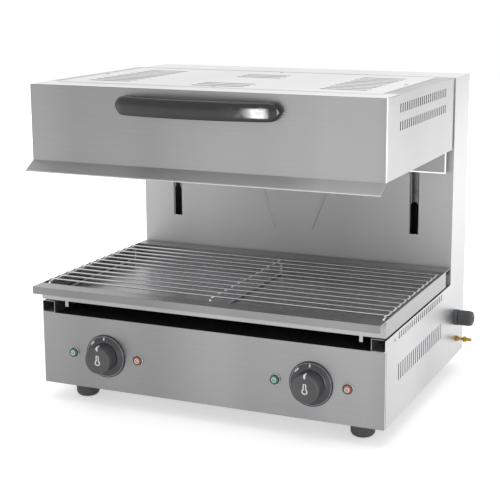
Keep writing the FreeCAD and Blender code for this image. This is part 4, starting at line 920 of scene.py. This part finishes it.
def capsule(length, width, count=8):
    """The outline of a straight mark with round ends, upright about the middle."""
    half, radius = length / 2 - width / 2, width / 2
    return arc((0, half), radius, 0, 180, count) + arc((0, -half), radius, 180, 360, count)


def thermometer(bulb, stem):
    """The outline of a thermometer: a round bulb at the foot of a stem with a round top."""
    opening = math.degrees(math.asin(stem / bulb))
    return arc((0, -4), bulb, 90 + opening, 450 - opening, 22) + arc((0, 6.4), stem, 0, 180, 10)


def ink_shape(outline, inner, centre, across, up, out, depth=0.22):
    """A thin printed shape on a plane through the centre: a full outline, or the band to an inner one."""
    shape = bmesh.new()
    loops = [(outline, -1), (outline, 1)] + ([(inner, 1), (inner, -1)] if inner else [])
    rings = [[shape.verts.new(Vector(centre) + (across * u + up * v + out * (way * depth / 2)) * MM)
              for u, v in loop] for loop, way in loops]
    return skinned(shape, rings, bool(inner))


# The pointer's upper side as radius and depth, from the cap's face over its rim and down its side.
POINTER_LINE = [(16.5, -28.45), (18.2, -28.6), (19.3, -29.25), (20.9, -29.4), (22.3, -28.9), (22.9, -27.5),
                (23.2, -24), (23.6, -19.5)]


def pointer_shape(centre):
    """The white pointer: a strip on its line that is narrower at both ends."""
    shape = bmesh.new()
    rings = []
    for number, (radius, depth) in enumerate(POINTER_LINE):
        half = 1.7 if 0 < number < len(POINTER_LINE) - 1 else 1.1
        row = [(-half, depth, radius), (half, depth, radius), (half, depth + 0.5, radius - 0.5),
               (-half, depth + 0.5, radius - 0.5)]
        rings.append([shape.verts.new(Vector(centre) + Vector(corner) * MM) for corner in row])
    return skinned(shape, rings, False)


def ribs_round(name, body, slot, centre, axis, radius, along, length, count, width, height):
    """Fine moulded ribs round a turned piece, lengthwise along its axis."""
    lengthwise = {"X": Vector((1, 0, 0)), "Y": Vector((0, 1, 0))}[axis]
    places, turns = [], []
    for number in range(count):
        angle = 2 * math.pi * (number + 0.5) / count
        across, up = math.cos(angle), math.sin(angle)
        radial = Vector((0, across, up)) if axis == "X" else Vector((across, 0, up))
        places.append(Vector(centre) + (radial * radius + lengthwise * along) * MM)
        turns.append(tuple(Matrix((lengthwise, radial.cross(lengthwise), radial)).transposed().to_euler()))
    spans = [(length * MM, width * MM, height * MM)] * count
    grown_piece(name, FLAP_TREE, body, slot, places, {"Bow": 0.0}, turns, spans,
                knob_black if slot == "black_phenolic" else None)


dials = []
# The directions to the right, up and out of the base's front.
FRONT_PLANE = (Vector((1, 0, 0)), Vector((0, 0, 1)), Vector((0, -1, 0)))
for side, hand in ((LEFT, "left"), (RIGHT, "right")):
    dial = in_frame(side * DIAL_X, 0, middle(f"knob_{hand}").z / MM)
    skirt, ring, top = (turned_shape(profile, dial, "Y", 96)
                        for profile in (BEZEL_PROFILE, DIAL_RING_PROFILE, cap_profile()))
    bezel = add_piece(f"dial_skirt_{hand}", [skirt], "base", "dial_metal",
                      turned_dial_metal(f"turned_anodised_dial_{hand}", dial))
    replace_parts(bezel, f"knob_bezel_{hand}")
    # The ring is drawn in lighter steel: a painted highlight round the skirt.
    add_piece(f"dial_ring_{hand}", [ring], "base", "dial_metal", FINISHES["machined_steel"])
    # On the skirt's slope a long mark points outwards and a short one lies round it.
    marks = []
    for angle, radius, length, along in ((137, 30.6, 9.0, True), (92, 29.8, 5.2, False)):
        a = math.radians(angle)
        radial = Vector((math.cos(a), 0, math.sin(a)))
        slope = (radial + Vector((0, 0.34, 0))).normalized()
        spot = dial + (radial * radius + Vector((0, -3.6, 0))) * MM
        tangent = Vector((math.sin(a), 0, -math.cos(a)))
        across, up = (slope, -tangent) if along else (tangent, slope)
        marks.append(ink_shape(capsule(length, 2.5), None, spot, across, up, slope.cross(tangent), 0.4))
    add_piece(f"dial_marks_{hand}", marks, "base", "dial_metal", white_ink)
    body = f"{hand}_knob"
    cap = add_piece(f"dial_cap_{hand}", [top], body, "black_phenolic", knob_black)
    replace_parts(cap, f"knob_{hand}")
    dials += [bezel, cap]
    ribs_round(f"dial_ribs_{hand}", body, "black_phenolic", dial, "Y", 23.25, -15.5, 13, 60, 0.7, 0.5)
    face = dial + Vector((0, -27.65, 0)) * MM
    sign = ink_shape(thermometer(4.9, 2.9), thermometer(2.9, 1.1), face, *FRONT_PLANE)
    add_piece(f"dial_sign_{hand}", [sign, pointer_shape(dial)], body, "black_phenolic", white_ink)


# Lamps

LENS_PROFILE = [(0, -6.45), (2.4, -6.25), (4.1, -5.7), (5.2, -4.9), (5.8, -4.1), (6.2, -3.9), (6.9, -4.05),
                (7.6, -3.5), (8.0, -2.6), (8.0, 0), (6.45, 0), (6.45, 24), (0, 24)]
RIM_PROFILE = [(8.1, 0), (9.35, 0), (9.5, -0.4), (9.3, -1.2), (8.8, -1.8), (8.2, -2.0)]
GLINT_RING_PROFILE = [(2.6, -6.2), (3.2, -6.42), (3.9, -6.1), (4.4, -5.65), (3.9, -5.4), (2.8, -5.8)]
COLLAR_PROFILE = [(6.6, 0), (8.3, 0), (8.3, -2.2), (8.0, -3.2), (7.4, -3.9), (6.8, -4.25), (6.5, -4.1)]
rims, glints, collars = [], [], []
glint_plane = [Matrix.Rotation(math.radians(35), 3, "Y") @ axis for axis in FRONT_PLANE]
for kind, way in (("power", LEFT), ("heat", RIGHT)):
    lenses = []
    for side in SIDES:
        centre = in_frame(side * DIAL_X + way * LAMP_STEP, 0, dial.z / MM)
        for shapes, profile in ((lenses, LENS_PROFILE), (rims, RIM_PROFILE), (collars, COLLAR_PROFILE)):
            shapes.append(turned_shape(profile, centre, "Y", 48))
        # A white ring and a slanted bar on the lens: painted glints.
        glints.append(turned_shape(GLINT_RING_PROFILE, centre, "Y", 36))
        glints.append(ink_shape(capsule(4.6, 1.2), None, centre + Vector((0, -6.4, 0)) * MM, *glint_plane))
    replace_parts(add_piece(f"{kind}_lenses", lenses, "base", SLOTS[f"{kind}_lamps"]), f"{kind}_lamps")
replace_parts(add_piece("lamp_rings", rims, "base", "lamp_ring"), "lamp_rims")
add_piece("lamp_collars", collars, "base", "lamp_ring", knob_black)
add_piece("lamp_painted_glints", glints, "base", "lamp_ring", lamp_glint_white)


# Handle

def handle_outline():
    """Pairs of points on the handle's outer and inner edge, seen from above, from one leg to the other."""
    leg = HANDLE_HALF - HANDLE_LEG
    outer_end, inner_end = HANDLE_HALF - HANDLE_CORNER, leg - HANDLE_INNER_CORNER
    back = HANDLE_FRONT + HANDLE_GRIP
    outer_start, inner_start = HANDLE_FRONT + HANDLE_CORNER, back + HANDLE_INNER_CORNER
    pairs = [((HANDLE_HALF, HANDLE_FOOT + (outer_start - HANDLE_FOOT) * s / 3),
              (leg, HANDLE_FOOT + (inner_start - HANDLE_FOOT) * s / 3)) for s in range(3)]
    pairs += list(zip(arc((outer_end, outer_start), HANDLE_CORNER, 0, -90, 16),
                      arc((inner_end, inner_start), HANDLE_INNER_CORNER, 0, -90, 16)))
    inwards = [1 - s / 12 for s in range(1, 13)]
    pairs += [((outer_end * share, HANDLE_FRONT), (inner_end * share, back)) for share in inwards]
    return pairs + [((-outer[0], outer[1]), (-inner[0], inner[1])) for outer, inner in reversed(pairs[:-1])]


def bowed(point):
    """The grip stands out furthest in its middle, by HANDLE_BOW more than at its ends."""
    x, y = point
    share = max(0.0, (HANDLE_FOOT - y) / (HANDLE_FOOT - HANDLE_FRONT))
    return x, y + HANDLE_BOW * share * (x / HANDLE_HALF) ** 2


def rounded(value):
    """A cosine or sine pushed outwards, so that a circle of them turns into a rounded rectangle."""
    return math.copysign(abs(value) ** (2 / HANDLE_ROUNDNESS), value)


def handle_shape(middle_z):
    """A bar of rounded section swept along the handle, thick at its legs and slim at the grip."""
    shape = bmesh.new()
    rings = []
    for pair in handle_outline():
        outer, inner = (bowed(point) for point in pair)
        ring = []
        for step in range(HANDLE_SIDES):
            angle = 2 * math.pi * step / HANDLE_SIDES
            across, up = rounded(math.cos(angle)), rounded(math.sin(angle))
            x, y = ((a + b) / 2 + (a - b) / 2 * across for a, b in zip(outer, inner))
            past = max(0.0, abs(x) - (HANDLE_HALF - HANDLE_RISE)) / HANDLE_RISE
            round_end = math.sqrt(max(0.0, 1 - past * past))
            ring.append(shape.verts.new(in_frame(x, y, middle_z + HANDLE_RISE * up * round_end)))
        rings.append(ring)
    return skinned(shape, rings, False)


handle = add_piece("lift_handle", [handle_shape(HOOD_TOP - HANDLE_DROP)], "hood", "black_phenolic")
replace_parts(handle, "hood_handle")


# Cable gland, bonding stud, feet and cables

gland = middle("cable_gland_nut")
gland.x = in_frame(WALL_X, 0, 0).x
NUT_PROFILE = [(4.5, 33), *reversed(arc((8.0, 28.0), 5.0, 0, 90, 6)), (13, 8.5), (12.5, 8), (10.1, 8),
               (10.1, 14.3), (4.5, 14.3)]
nut = add_piece("gland_nut", [turned_shape(NUT_PROFILE, gland, "X", 64)], "base", "grey_nylon")
nut.data.set_sharp_from_angle(angle=SMOOTH_ANGLE)
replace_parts(nut, "cable_gland_nut")
ribs_round("gland_ribs", "base", "grey_nylon", gland, "X", 12.9, 18, 17, 18, 1.6, 1.1)

low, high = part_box("bonding_stud")
stud = middle("bonding_stud")
stud.x = low.x
thread = grown_piece("stud_thread", thread_rings(), "base", "brass", [stud], {
    "Crest Radius": 2.6 * MM, "Pitch": 1.0 * MM, "Count": 35, "Length": high.x - low.x}, [facing("right")])
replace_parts(thread, "bonding_stud")


def stud_ring(inner, outer, start, depth, sides):
    """A nut or a washer on the bonding stud, in mm from the wall."""
    profile = [(inner, start), (outer, start), (outer, start + depth), (inner, start + depth)]
    return turned_shape(profile, Vector((gland.x, stud.y, stud.z)), "X", sides)


stud_nuts = [stud_ring(2.9, 5.0, start, 3.8, 6) for start in (1.2, 15.2)]
for shape in stud_nuts:
    soften(shape, 0.4 * MM)
washers = [stud_ring(3.1, 5.6, start, 0.9, 32) for start in (0.1, 14.1)]
flat_faces(add_piece("stud_nuts", stud_nuts + washers, "base", "brass"))

for place in ("front_left", "front_right", "rear_left", "rear_right"):
    node = f"foot_{place}"
    height = level(node, 1)
    profile = [(0, 6), (4.2, 6), (4.8, 1.0), (6.0, 0), (10.5, 0), *arc((10.5, 9.0), 9.0, -75, 0, 8),
               (19.5, height - 1), (18.8, height), (0, height)]
    foot = turned_shape(profile, (middle(node).x, middle(node).y, 0), "Z", 64)
    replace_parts(add_piece(f"rubber_{place}", [foot], "base", "foot_rubber"), node)

CABLE_TREE = stranded_cables()
CABLE_RADIUS = 1.25 * MM
for node, body in (("hood_cables", "hood"), ("weight_cables", "counterweight")):
    low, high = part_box(node)
    y = (low.y + high.y) / 2
    tops = [Vector((low.x + CABLE_RADIUS, y, high.z)), Vector((high.x - CABLE_RADIUS, y, high.z))]
    mesh = grown(f"stranded_{node}", CABLE_TREE, tops, {
        "Length": high.z - low.z, "Lay Length": 9 * MM, "Strand Radius": 0.416 * MM,
        "Material": FINISHES["steel_cable"]})
    cable = new_object(f"stranded_{node}", mesh)
    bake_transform(cable)
    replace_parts(cable, node)


# Studio

def light_panel(name, place, target, width, height, power, only=()):
    """A soft box that faces the target, or a small card that is held for a few glossy pieces only."""
    lamp = bpy.data.lights.new(name, "AREA")
    lamp.shape = "RECTANGLE"
    lamp.size, lamp.size_y = width, height
    lamp.energy = power
    holder = new_object(name, lamp)
    holder.location = place
    holder.rotation_euler = (Vector(target) - Vector(place)).to_track_quat("-Z", "Y").to_euler()
    if only:
        receivers = bpy.data.collections.new(f"{name}_receivers")
        for piece in only:
            receivers.objects.link(piece)
        holder.light_linking.receiver_collection = receivers


def ray_share(tree):
    """1 for the rays that see the background: straight, in a shine, or through glass."""
    path = add_node(tree, "ShaderNodeLightPath").outputs
    first = scaled(tree, path["Is Camera Ray"], path["Is Glossy Ray"], "MAXIMUM")
    return scaled(tree, first, path["Is Transmission Ray"], "MAXIMUM")


def white_world():
    """White light from all around, a little weaker than the white that the camera sees."""
    world = bpy.data.worlds.new("studio")
    world.use_nodes = True
    bpy.context.scene.world = world
    tree = world.node_tree
    tree.nodes["Background"].inputs["Color"].default_value = linear("#ffffff")
    strength = between(tree, ray_share(tree), WORLD_STRENGTH, 1.0, 0.0, 1.0)
    link(tree, strength, tree.nodes["Background"].inputs["Strength"])


def white_floor():
    """Matt white paper, lifted to white for the rays that see it, so that it keeps a soft shadow."""
    mesh = bpy.data.meshes.new("studio_floor")
    shape = bmesh.new()
    bmesh.ops.create_circle(shape, cap_ends=True, segments=64, radius=FLOOR_RADIUS)
    shape.to_mesh(mesh)
    shape.free()
    floor = new_object("studio_floor", mesh)
    material, tree, shader = new_material("white_paper", "#e6e6e6", 1.0, Specular_IOR_Level=0.0)
    shader.inputs["Emission Color"].default_value = linear("#ffffff")
    fibre = pattern(tree, (40, 40, 40), 4.0)
    link(tree, shaded(tree, fibre, "#e4e4e4", "#e8e8e8"), shader.inputs["Base Color"])
    # The lamps reach less far than the paper does, so its own white takes over beyond them.
    distance = add_node(tree, "ShaderNodeVectorMath", {0: own_place(tree)}, operation="LENGTH")
    own = between(tree, distance.outputs["Value"], 0.5, 1.0, 0.5, 2.2)
    link(tree, scaled(tree, own, ray_share(tree)), shader.inputs["Emission Strength"])
    mesh.materials.append(material)


def add_camera():
    camera = new_object("camera", bpy.data.cameras.new("camera"))
    bpy.context.scene.camera = camera
    camera.location = [c * MM for c in CAMERA_PLACE]
    turn = Euler((math.radians(90 - CAMERA_ELEVATION), 0, math.radians(CAMERA_AZIMUTH))).to_matrix()
    roll = Matrix.Rotation(math.radians(CAMERA_ROLL), 3, "Z")
    camera.rotation_euler = (turn @ roll).to_euler()
    camera.data.sensor_width = SENSOR_WIDTH
    camera.data.lens = FOCAL_PIXELS / PHOTO_PIXELS * SENSOR_WIDTH
    camera.data.shift_x = (PHOTO_PIXELS / 2 - CENTRE_PIXELS[0]) / PHOTO_PIXELS
    camera.data.shift_y = (CENTRE_PIXELS[1] - PHOTO_PIXELS / 2) / PHOTO_PIXELS


bpy.context.scene.view_settings.view_transform = "Standard"
white_world()
white_floor()
add_camera()
light_panel("overhead_panel", (0.2, -0.4, 2.4), (0, 0, 0.3), 1.8, 1.8, 13)
light_panel("right_panel", (1.9, -1.1, 0.7), (0, 0, 0.3), 0.5, 1.0, 0.8)
light_panel("front_card", (0.14, -1.42, 0.26), (0.07, -0.25, 0.5), 0.17, 0.5, 8, [handle])
light_panel("side_card", (1.6, -1.1, 0.45), (0.1, -0.23, 0.5), 0.35, 0.9, 12, [handle, *dials])
light_panel("column_card", (-0.5, -2.0, 0.35), (0, 0, 0.25), 1.6, 0.5, 5, [column])
light_panel("slot_card", (1.3, -1.3, 0.33), (0, 0.15, 0.33), 0.3, 0.3, 60, [turned_in])
